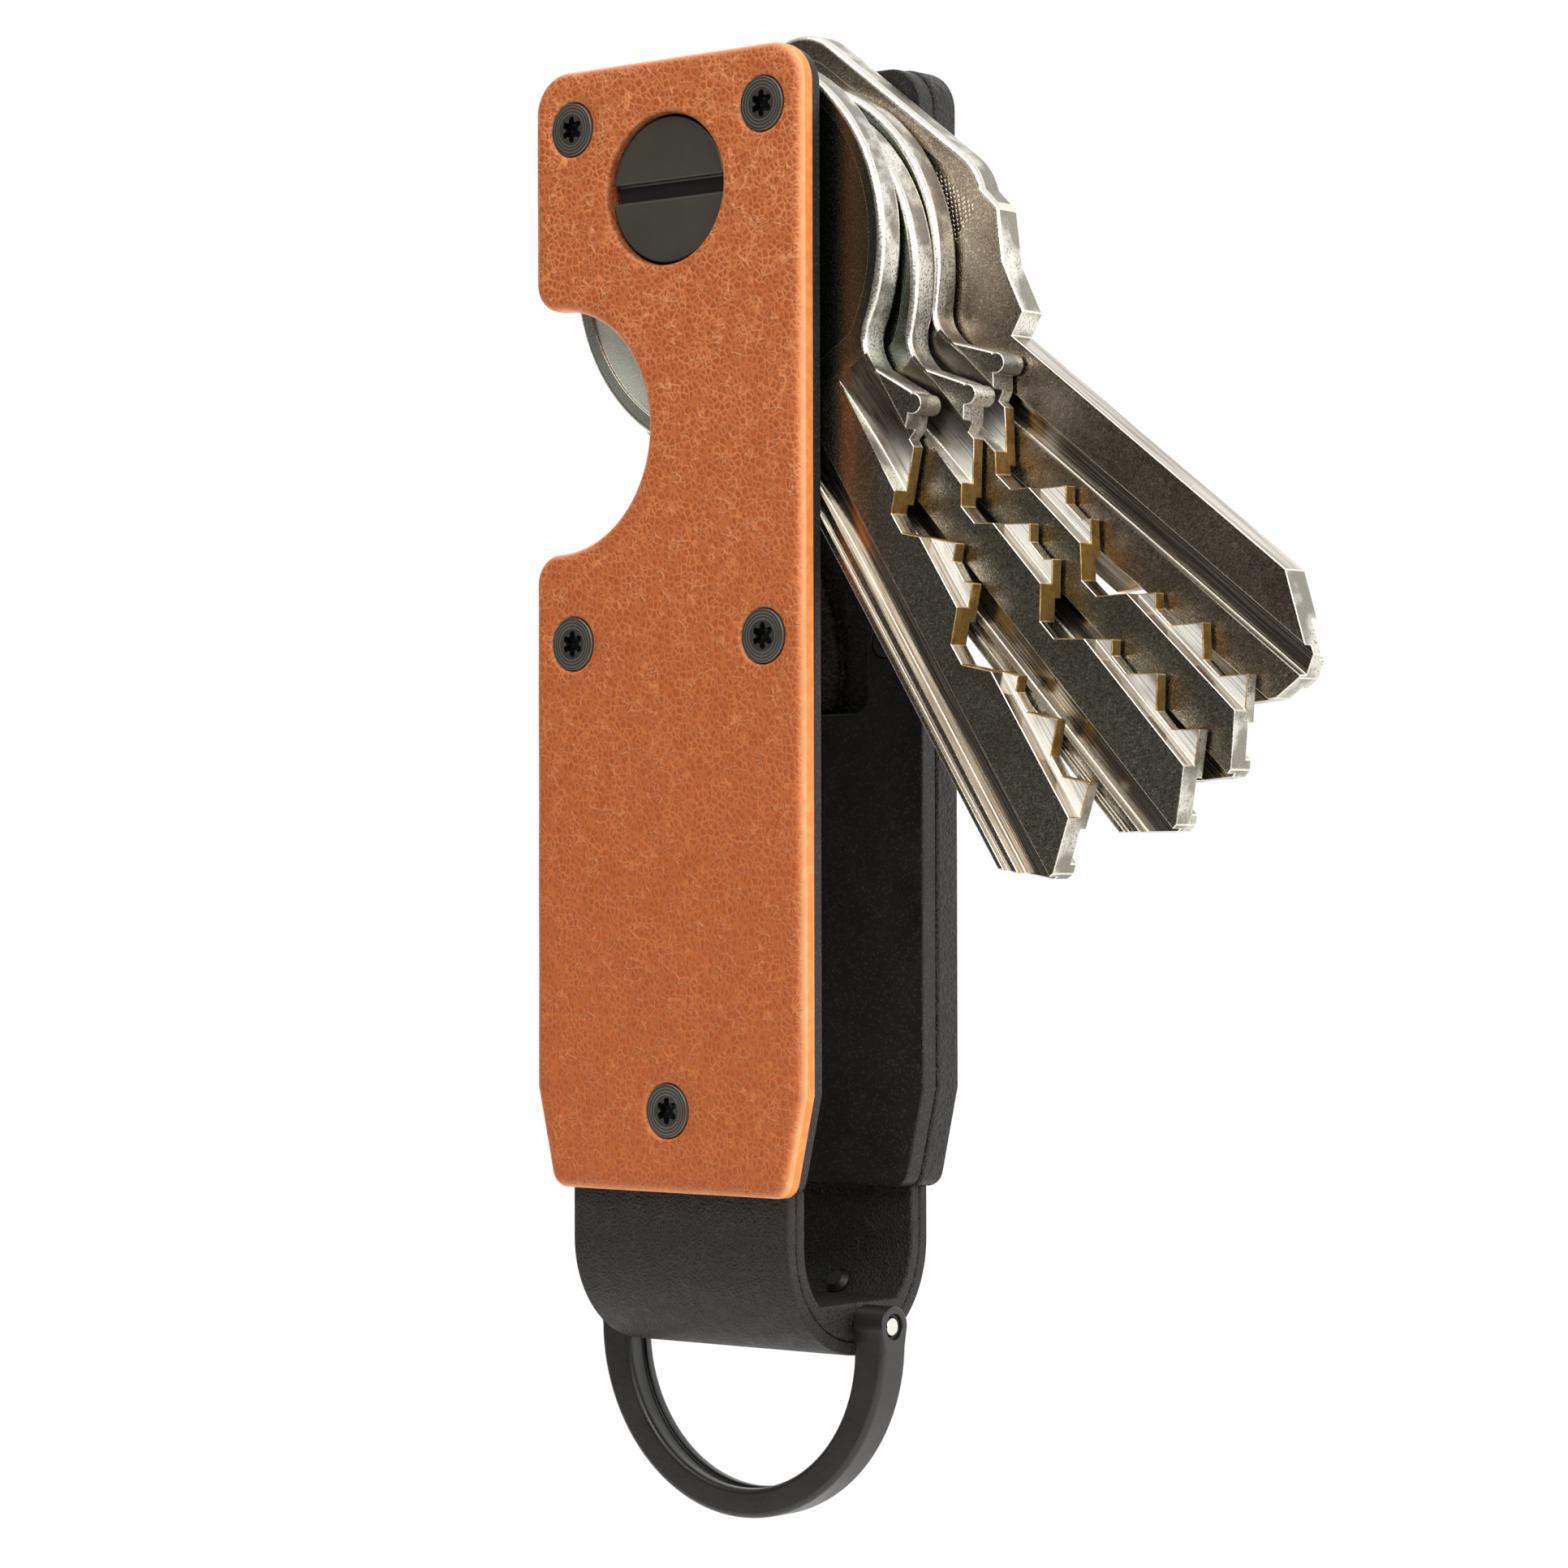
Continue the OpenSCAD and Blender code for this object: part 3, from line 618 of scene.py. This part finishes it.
# ---------- strap ----------
# Two bands of black leather, skived, glued face to face and bent into a loop; the inner one
# is built up into a floor over the ring's pin. The cut edges are sanded and painted.
strap, tree, principled, place = shader("black_strap_leather", Specular_IOR_Level=0.28)
leather = use(tree, grain, Place=place, Cell=0.3, Crease=0.16)
# The strap's leather is a little lighter and browner than the cover's and its creases paler still,
# partly its own tone and partly painted light.
face = mixed(tree, leather["Mottle"], linear(22, 21, 20), linear(31, 29, 27))
face = mixed(tree, value(tree, "MULTIPLY", leather["Creases"], 0.45), face, linear(54, 52, 49))
feed(
    tree, principled, Base_Color=face,
    Roughness=between(tree, leather["Mottle"], 0.3, 0.7, 0.5, 0.62),
    Normal=bumped(tree, leather["Height"], 0.035),
)
eased_copy("strap_outer", "strap_outer_band", "case", [strap], 0.2, 4)
eased_copy("strap_lining", "strap_inner_band", "case", [strap], 0.2, 4)

# ---------- strap rivets ----------
# Two small blackened steel rivets that hold the layers together behind the pin.
black_steel, tree, principled, place = shader("black_oxide_steel", Metallic=0.35)
oxide = use(tree, speckle, Place=place, Size=0.16)
feed(
    tree, principled,
    Base_Color=mixed(tree, oxide["Cloud"], linear(58, 55, 50), linear(76, 72, 65)),
    Roughness=between(tree, oxide["Height"], 0.6, 1.4, 0.34, 0.46),
    Normal=bumped(tree, oxide["Height"], 0.003),
)
shaded_steel, tree, principled, place = shader("black_oxide_in_the_shade", Metallic=0.35)
oxide = use(tree, speckle, Place=place, Size=0.16)
feed(
    tree, principled,
    Base_Color=mixed(tree, oxide["Cloud"], linear(22, 21, 19), linear(33, 31, 29)),
    Roughness=between(tree, oxide["Height"], 0.6, 1.4, 0.4, 0.5),
    Normal=bumped(tree, oxide["Height"], 0.003),
)
eased_copy("strap_rivets", "rivets", "case", [shaded_steel], 0.05, 2)

# ---------- pivot screw and barrel ----------
# A turned steel screw with a coin slot and the barrel that it closes on, both blackened.
# The keys turn on the barrel; the heads lie in the round windows of the two covers.
for node, name, end in (("pivot_screw", "slotted_pivot_screw", 0),
                        ("pivot_barrel", "pivot_barrel_and_head", 1)):
    head_y = millimetres(node)[end][1]
    eased_copy(node, name, "case", [black_steel, shaded_steel], 0.13, 3, None,
               lambda centre, normal: np.where(np.abs(centre[:, 1] - head_y) > 0.15, 1, 0))

# ---------- washers and shims ----------
# Stamped spring-steel washers at the two ends of the stack and thin nylon rings between
# the keys; the pivot screw squeezes them, which is what holds a key where it is turned.
spring, tree, principled, place = shader("spring_steel", Metallic=1.0)
rolled = noise(tree, stretched(tree, place, 0.6, 2, 9), 1.0, 3).outputs["Fac"]
feed(
    tree, principled,
    Base_Color=mixed(tree, rolled, linear(120, 118, 114), linear(168, 166, 160)),
    Roughness=between(tree, rolled, 0.3, 0.7, 0.26, 0.4),
    Normal=bumped(tree, rolled, 0.004),
)
nylon, tree, principled, place = shader("black_nylon")
drawn = noise(tree, place, 2.5, 3).outputs["Fac"]
feed(
    tree, principled, Base_Color=mixed(tree, drawn, linear(22, 22, 23), linear(34, 34, 35)),
    Roughness=between(tree, drawn, 0.3, 0.7, 0.4, 0.5), Normal=bumped(tree, drawn, 0.004),
)
for end in ("front", "back"):
    eased_copy(f"friction_washer_{end}", f"spring_washer_{end}", "case",
               [spring], 0.06, 2)
for i in (1, 2, 3):
    eased_copy(f"shim_{i}", f"nylon_shim_{i}", "case", [nylon], 0.03, 2)

# ---------- keys ----------
# Three nickel-plated brass cylinder keys with round bows and one with a squared bow. The
# heads are struck with soft edges, the warding is milled along the blade and runs out in
# an arc, and the bitting is cut afterwards, so it shows bare brass.
bow_middle, recess_r, land_r = 4.9, 11.7, 12.2
first_cut, last_cut = 24.5, 49.5


def along_key(angle, shift):
    """For a key hung angle degrees from straight down: gives each point's distance along
    the key, x sin t - z cos t, across it, x cos t + z sin t, and its depth, from where the
    middle of the hole would be if the key weren't shifted along and across itself."""
    s, c = math.sin(math.radians(angle)), math.cos(math.radians(angle))

    def measure(points):
        """Distance along, distance across and depth of each point."""
        x, z = points[:, 0] - pivot[0], points[:, 2] - pivot[2]
        along, across = x * s - z * c - shift[0], x * c + z * s - shift[1]
        return np.column_stack([along, across, points[:, 1]])

    return measure


def in_cuts(a, p, square):
    """The part of the blade that the bitting is cut from."""
    across = (p < -1.5) & (p > -4.1) if square else (p > 1.2) & (p < 4.93)
    return (a > first_cut) & (a < last_cut) & across


def key_face(name, low_tone, high_tone, knurled):
    """Plated brass: sandy on its lands, drawn out along the blade where it is milled."""
    material, tree, principled, place = shader(name, Metallic=1.0)
    own = add(tree, "Attribute", attribute_name="own_place").outputs["Vector"]
    part = add(tree, "SeparateXYZ", {0: own}).outputs
    sand = use(tree, speckle, Place=place, Size=0.1)
    wear = noise(tree, own, 0.16, 4, 0.6).outputs["Fac"]
    streak = noise(tree, stretched(tree, own, 0.12, 5, 1), 1.0, 4, 0.6).outputs["Fac"]
    tone = mixed(tree, between(tree, sand["Height"], 0.55, 1.25), low_tone, high_tone)
    tone = mixed(tree, value(tree, "MULTIPLY", sand["Flecks"], 0.55), tone, linear(214, 206, 190))
    tone = mixed(tree, between(tree, wear, 0.45, 0.7, 0.0, 0.5), tone, linear(112, 98, 80))
    blade = between(tree, part["X"], 20.0, 24.0)
    bow = between(tree, part["X"], 16.4, 17.4, 1.0, 0.0)
    if not knurled:
        # Painted light and shade on the bow: it is tinted dark green, partly its patina and partly
        # painted shade. Its left side, most of all in the recess, is pale and less metallic as
        # painted light from the left.
        flat = add(tree, "CombineXYZ", {"X": part["X"], "Y": part["Y"]}).outputs[0]
        away = add(tree, "VectorMath", {0: flat, 1: (bow_middle, 0, 0)},
                   operation="DISTANCE")
        recess = between(tree, away.outputs["Value"], recess_r - 0.1, recess_r, 1.0, 0.5)
        near = between(tree, part["Y"], -9.0, -6.0, 1.0, 0.0)
        bow_painted_light = value(tree, "MULTIPLY", value(tree, "MULTIPLY", bow, near), recess)
        tone = mixed(tree, value(tree, "MULTIPLY", bow, 0.75), tone, linear(70, 84, 78))
        tone = mixed(tree, bow_painted_light, tone, linear(214, 219, 209))
        feed(tree, principled, Metallic=between(tree, bow_painted_light, 0.0, 1.0, 1.0, 0.3))
    height = value(tree, "ADD", sand["Height"], value(tree, "MULTIPLY", streak, blade))
    if knurled:
        turns = [add(tree, "Math", {0: value(tree, "MULTIPLY", part[axis], 15.0)},
                     operation="SINE").outputs[0] for axis in ("X", "Y")]
        lattice = between(tree, value(tree, "MULTIPLY", *turns), -0.1, 0.55)
        field = value(tree, "MULTIPLY", between(tree, part["X"], 14.6, 15.2, 1.0, 0.0),
                      between(tree, part["X"], -6.0, -5.0))
        field = value(tree, "MULTIPLY", field, between(tree, part["Y"], 9.0, 9.5, 1.0, 0.0))
        lattice = value(tree, "MULTIPLY", lattice, field)
        tone = mixed(tree, value(tree, "MULTIPLY", lattice, 0.8), tone, linear(232, 222, 200))
        height = value(tree, "ADD", height, value(tree, "MULTIPLY", lattice, 3.5))
    feed(
        tree, principled, Base_Color=tone,
        Roughness=between(tree, sand["Height"], 0.5, 1.3, 0.18, 0.32),
        Normal=bumped(tree, height, 0.01),
    )
    return material


nickel = key_face("worn_nickel", linear(122, 119, 107), linear(148, 144, 131), False)
dull_nickel = key_face("dull_nickel", linear(132, 121, 109), linear(158, 146, 132), True)
milled, tree, principled, place = shader("milled_nickel", Metallic=1.0)
own = add(tree, "Attribute", attribute_name="own_place").outputs["Vector"]
lines = noise(tree, stretched(tree, own, 0.1, 9, 3), 1.0, 4, 0.6).outputs["Fac"]
feed(
    tree, principled,
    Base_Color=mixed(tree, between(tree, lines, 0.35, 0.65), linear(118, 108, 94),
                     linear(196, 189, 176)),
    Roughness=between(tree, lines, 0.3, 0.7, 0.14, 0.26), Normal=bumped(tree, lines, 0.006),
)

# Painted highlight: the ledge beside the milled channel is painted near white and less metallic
# towards the tip, as the light that a ledge sloping down to the bitting would catch.
bright, tree, principled, place = shader("ledge_painted_highlight")
own = add(tree, "Attribute", attribute_name="own_place").outputs["Vector"]
lines = noise(tree, stretched(tree, own, 0.07, 7, 3), 1.0, 4, 0.6).outputs["Fac"]
clean = noise(tree, stretched(tree, own, 0.16, 0.5, 1), 1.0, 2).outputs["Fac"]
part = add(tree, "SeparateXYZ", {0: own}).outputs
shine = value(tree, "MULTIPLY", between(tree, lines, 0.36, 0.5, 0.55, 1.0),
              between(tree, clean, 0.36, 0.5, 0.45, 1.0))
shine = value(tree, "MULTIPLY", shine, between(tree, part["X"], 21.0, 26.0, 0.12, 1.0))
shine = value(tree, "MULTIPLY", shine, between(tree, part["Y"], 4.0, 4.7, 1.0, 0.3))
feed(
    tree, principled, Base_Color=mixed(tree, shine, linear(96, 88, 76), linear(250, 246, 238)),
    Metallic=between(tree, part["X"], 21.0, 26.0, 1.0, 0.35),
    Roughness=between(tree, lines, 0.3, 0.7, 0.24, 0.4), Normal=bumped(tree, lines, 0.004),
)

rubbed, tree, principled, place = shader("rubbed_nickel_edge", Metallic=1.0)
rub = use(tree, speckle, Place=place, Size=0.15)
feed(
    tree, principled,
    Base_Color=mixed(tree, rub["Cloud"], linear(208, 203, 191), linear(230, 226, 215)),
    Roughness=between(tree, rub["Height"], 0.5, 1.3, 0.2, 0.34),
    Normal=bumped(tree, rub["Height"], 0.006),
)
side, tree, principled, place = shader("struck_nickel_side", Metallic=1.0)
grit = use(tree, speckle, Place=place, Size=0.16)
own = add(tree, "Attribute", attribute_name="own_place").outputs["Vector"]
tip = between(tree, add(tree, "SeparateXYZ", {0: own}).outputs["X"], 44.0, 48.0)
edge_tone = mixed(tree, between(tree, grit["Cloud"], 0.4, 0.6), linear(140, 135, 125),
             linear(222, 218, 208))
edge_tone = mixed(tree, between(tree, grit["Height"], 0.55, 0.95), linear(112, 106, 97), edge_tone)
feed(
    tree, principled,
    Base_Color=mixed(tree, value(tree, "MULTIPLY", tip, 0.2), edge_tone, linear(112, 106, 97)),
    Roughness=between(tree, grit["Height"], 0.5, 1.3, 0.3, 0.48),
    Normal=bumped(tree, grit["Height"], 0.014),
)
brass, tree, principled, place = shader("cut_brass", Metallic=1.0)
file_marks = noise(tree, stretched(tree, place, 1, 14, 1), 1.0, 3).outputs["Fac"]
tarnish = noise(tree, place, 1.1, 4, 0.65).outputs["Fac"]
feed(
    tree, principled,
    Base_Color=mixed(tree, between(tree, tarnish, 0.4, 0.62), linear(205, 170, 104),
                     linear(146, 112, 62)),
    Roughness=between(tree, tarnish, 0.3, 0.7, 0.3, 0.5),
    Normal=bumped(tree, file_marks, 0.01),
)
key_angles = [32.9, 43, 47.1, 52.6]
key_shifts = [(0, 0), (2.1, -1.8), (1.3, -1.7), (0, 0)]
for number, (angle, shift) in enumerate(zip(key_angles, key_shifts), 1):
    own = along_key(angle, shift)
    square = number == 4
    front_y, back_y = (corner[1] for corner in millimetres(f"key_{number}"))

    def rounding(middle, own=own, square=square):
        """Wide on the bow's outline, narrow on the blade and round the bore."""
        place = own(middle)
        a, p = place[:, 0] - bow_middle, np.abs(place[:, 1])
        beyond = np.maximum(np.column_stack([np.abs(a - 0.3) - 6.7, p - 7.1]), 0)
        outline = (np.hypot(beyond[:, 0], beyond[:, 1]) > 3.6 if square
                   else np.hypot(a, p) > land_r)
        narrow = 0.17
        fading = np.clip(1 - (a - 9) / 10, narrow, 1)
        return np.where(outline, fading, narrow)

    own_axis = np.array((math.cos(math.radians(angle)), 0, math.sin(math.radians(angle))))
    down = np.array((own_axis[2], 0, -own_axis[0]))

    def edge_of_cut(middle, normal, own=own, square=square, down=down):
        """Rubbed plating, but bare brass along the bitting's slopes."""
        place = own(middle)
        bare = in_cuts(place[:, 0], place[:, 1], square) & (np.abs(normal @ down) > 0.2)
        return np.where(bare, 3, 1)

    def finish_of(centre, normal, own=own, square=square, axis=own_axis,
                  faces=(front_y, back_y)):
        """0 face, 2 outer side, 3 freshly cut brass, 4 milled channel, 5 its ledge, painted bright
        as a highlight.
        """
        place = own(centre)
        a, p = place[:, 0], place[:, 1]
        edge = np.abs(normal[:, 1]) < 0.5
        cut = edge & in_cuts(a, p, square)
        lengthwise = np.abs(normal @ axis) > 0.995
        outer = edge & ((a < 23.5) | (a > 48) | (np.abs(p) > 4.9))
        channel = (a > 17) & (np.minimum(centre[:, 1] - faces[0], faces[1] - centre[:, 1]) > 0.1)
        ledge = channel & ~edge & (p > 2.7) & (p < 5.8) & (not square)
        return np.select([cut & ~lengthwise, outer, ledge, channel], [3, 2, 5, 4], 0)

    eased_copy(
        f"key_{number}", f"cylinder_key_{number}", f"key_{number}",
        [dull_nickel if square else nickel, rubbed, side, brass, milled, bright], 0.4, 4,
        rounding, finish_of, edge_of_cut, own,
    )

# ---------- ring and pin ----------
# A cast zinc D-ring, tumbled and finished in satin black, hung in the strap on a ground
# steel pin that is pressed through its two eyes.
satin, tree, principled, place = shader("satin_black_ring")
cast = use(tree, speckle, Place=place, Size=0.3)
feed(
    tree, principled,
    Base_Color=mixed(tree, cast["Cloud"], linear(17, 16, 14), linear(26, 24, 22)),
    Roughness=between(tree, cast["Cloud"], 0.3, 0.7, 0.34, 0.44),
    Normal=bumped(tree, cast["Height"], 0.004),
)
ring_low, ring_high = millimetres("d_ring")


def ring_rounding(middle):
    """Wide along the ring's front and back edges, narrow in its groove and its eyes."""
    depth = np.abs(middle[:, 1] - (ring_low[1] + ring_high[1]) / 2)
    below = middle[:, 2] < ring_high[2] - 1.7
    return np.where((depth > 1.2) & below, 1.0, 0.25)


eased_copy("d_ring", "satin_d_ring", "ring", [satin], 0.36, 4, ring_rounding)
ground, tree, principled, place = shader("ground_steel_pin", Metallic=1.0)
scuff = noise(tree, stretched(tree, place, 1, 6, 6), 1.0, 3).outputs["Fac"]
feed(
    tree, principled,
    Base_Color=mixed(tree, scuff, linear(190, 187, 180), linear(226, 224, 218)),
    Roughness=between(tree, scuff, 0.3, 0.7, 0.2, 0.36), Normal=bumped(tree, scuff, 0.006),
)
eased_copy("ring_pin", "steel_pin", "ring", [ground], 0.09, 3)

# ---------- cover screws ----------
# Ten small countersunk steel screws, blackened, with turning marks on the head and a
# six-lobed socket. Five hold each cover to its plate.
turned, tree, principled, place = shader("turned_black_screw", Metallic=0.45)
radius = add(tree, "Attribute", attribute_name="turning").outputs["Fac"]
marks = add(tree, "Math", {0: value(tree, "MULTIPLY", radius, 31.0)}, operation="SINE").outputs[0]
marks = value(tree, "MULTIPLY", marks, between(tree, radius, 0.9, 1.0))
blued = use(tree, speckle, Place=place, Size=0.12)
steel = mixed(tree, blued["Cloud"], linear(54, 52, 48), linear(74, 70, 65))
steel = mixed(tree, between(tree, marks, 0.0, 0.9, 0.0, 0.5), steel, linear(128, 122, 114))
# Painted shade: the socket, whose rows carry no turning radius, is painted near black as the shade
# inside it.
feed(
    tree, principled,
    Base_Color=mixed(tree, between(tree, radius, 0.3, 0.5), linear(12, 11, 11), steel),
    Roughness=between(tree, blued["Height"], 0.5, 1.3, 0.3, 0.42),
    Normal=bumped(tree, value(tree, "ADD", marks, value(tree, "MULTIPLY", blued["Height"], 0.2)),
                  0.009),
)


def lobes(angle, root=0.53, out=0.62, r=0.21):
    """Radius of a six-lobed socket: the larger of a root circle and, near each lobe at
    angle u, out cos u + sqrt(r^2 - out^2 sin^2 u)."""
    u = angle % (math.pi / 3) - math.pi / 6
    under = r**2 - (out * np.sin(u)) ** 2
    return np.maximum(root, np.where(under > 0, out * np.cos(u) + np.sqrt(np.abs(under)), 0))


def turned_screws(name, node, y_head, facing, lengths):
    """Closed mesh of countersunk screws: rows of (radius, depth) turned about each axis,
    the rows of the socket following its lobes."""
    sides = 120
    around = np.linspace(0, 2 * math.pi, sides, endpoint=False)
    star, head, shank = lobes(around), 1.7, 1.0
    points, faces, marks, base = [], [], [], 0
    for spot, length in zip(screw_spots, lengths):
        rows = [(star * 0.85, 0.65), (star * 0.97, 0.6), (star, 0.1), (star + 0.05, 0.015)]
        rows += [(np.full(sides, r), 0.0) for r in (0.95, 1.15, 1.35, 1.58)]
        rows += [(np.full(sides, r), d) for r, d in (
            (1.64, 0.012), (1.68, 0.045), (head, 0.1), (head, 0.3), (1.66, 0.34),
            (shank + 0.04, 0.96), (shank, 1.0), (shank, length - 0.12), (shank - 0.12, length),
        )]
        for r, d in rows:
            points.append(np.column_stack([
                spot[0] + r * np.cos(around), np.full(sides, y_head - facing * d),
                spot[1] + r * np.sin(around)]))
            marks.append(r if r[0] != star[0] and r.max() > 0.87 else 0 * r)
        ends = [[spot[0], y_head - facing * 0.68, spot[1]],
                [spot[0], y_head - facing * length, spot[1]]]
        points.append(np.array(ends))
        marks.append(np.zeros(2))
        numbers = base + np.arange(len(rows) * sides).reshape(len(rows), sides)
        for a, b in zip(numbers[:-1], numbers[1:]):
            faces += wrapped(a, b)
        for row, tip in ((numbers[0], numbers.size), (numbers[-1], numbers.size + 1)):
            fan = np.column_stack([row, np.roll(row, -1), np.full(sides, base + tip)])
            faces += fan.tolist()
        base += numbers.size + 2
    mesh = mesh_of(name, np.vstack(points), faces, turning=np.concatenate(marks))
    return finished(name, mesh, "case", [node], [turned], 40)


front_low, front_high = millimetres("front_cover_screws")
back_low, back_high = millimetres("back_cover_screws")
short = 1.98
turned_screws("front_screws", "front_cover_screws", front_low[1], -1,
              [short] * 4 + [front_high[1] - front_low[1]])
turned_screws("back_screws", "back_cover_screws", back_high[1], 1,
              [back_high[1] - back_low[1]] * 5)

# ---------- floor, light and camera ----------
# A pale floor well below the hanging object, a white backdrop, a wide soft light behind
# and to the right, a darker room in front on the left, and two soft boxes for the leather.
floor_r, floor_z = 0.33, -0.11
turn = np.linspace(0, 2 * math.pi, 96, endpoint=False)
disc = bpy.data.meshes.new("floor")
disc.from_pydata(
    np.column_stack([floor_r * np.cos(turn), floor_r * np.sin(turn),
                     np.full(len(turn), floor_z)]).tolist(), [], [list(range(len(turn)))])
floor = bpy.data.objects.new("floor", disc)
bpy.context.scene.collection.objects.link(floor)
paper, tree, principled, place = shader("pale_floor", Roughness=0.7)
fibre = noise(tree, place, 0.05, 4).outputs["Fac"]
feed(tree, principled, Base_Color=mixed(tree, fibre, linear(238, 237, 235), linear(246, 245, 243)))
disc.materials.append(paper)

world = bpy.data.worlds.new("studio")
bpy.context.scene.world = world
world.use_nodes = True
tree = world.node_tree
tree.nodes.clear()
side_of = add(tree, "SeparateXYZ", {0: add(tree, "TexCoord").outputs["Generated"]}).outputs
behind = between(tree, side_of["Y"], -0.35, 0.45)
room = mixed(tree, behind, (0.1, 0.095, 0.085, 1), (1.5, 1.5, 1.5, 1))
above = between(tree, side_of["Z"], 0.2, 0.9)
room = mixed(tree, value(tree, "MULTIPLY", above, 0.6), room, (1.1, 1.1, 1.1, 1))
lights = add(tree, "Background", {"Color": room, "Strength": 1.0}).outputs[0]
white = add(tree, "Background", {"Color": (1, 1, 1, 1), "Strength": 1.0}).outputs[0]
seen = add(tree, "LightPath").outputs["Is Camera Ray"]
both = add(tree, "MixShader", {0: seen, 1: lights, 2: white}).outputs[0]
add(tree, "OutputWorld", {"Surface": both})

target = Vector((9.843, -15.95, -10.265)) * MM
eye = Vector((190.228, -233.789, -15.320)) * MM


def soft_box(name, direction, distance, size, power):
    """A square light at distance along direction from the target, turned to face it."""
    lamp = bpy.data.lights.new(name, "AREA")
    lamp.shape, lamp.size, lamp.energy = "SQUARE", size, power
    box = bpy.data.objects.new(name, lamp)
    bpy.context.scene.collection.objects.link(box)
    away = Vector(direction).normalized()
    box.location = target + away * distance
    box.rotation_mode = "QUATERNION"
    box.rotation_quaternion = away.to_track_quat("Z", "Y")


soft_box("front_box", (0.55, -0.75, 0.75), 0.7, 0.45, 3.7)
soft_box("high_box", (-0.15, -0.5, 1.0), 0.7, 0.4, 1.6)
soft_box("right_box", (1.0, -0.1, 0.25), 0.7, 0.4, 2.0)

camera = bpy.data.objects.new("camera", bpy.data.cameras.new("camera"))
bpy.context.scene.collection.objects.link(camera)
camera.data.lens, camera.data.sensor_width = 104.93, 36
camera.data.clip_start, camera.data.clip_end = 0.01, 10
ahead = (target - eye).normalized()
right = ahead.cross(Vector((0, 0, 1))).normalized()
over = right.cross(ahead)
roll = math.radians(-0.135)
across = right * math.cos(roll) + over * math.sin(roll)
over = over * math.cos(roll) - right * math.sin(roll)
camera.matrix_world = Matrix.Translation(eye) @ Matrix((across, over, -ahead)).transposed().to_4x4()
bpy.context.scene.camera = camera
bpy.context.scene.view_settings.view_transform = "Standard"
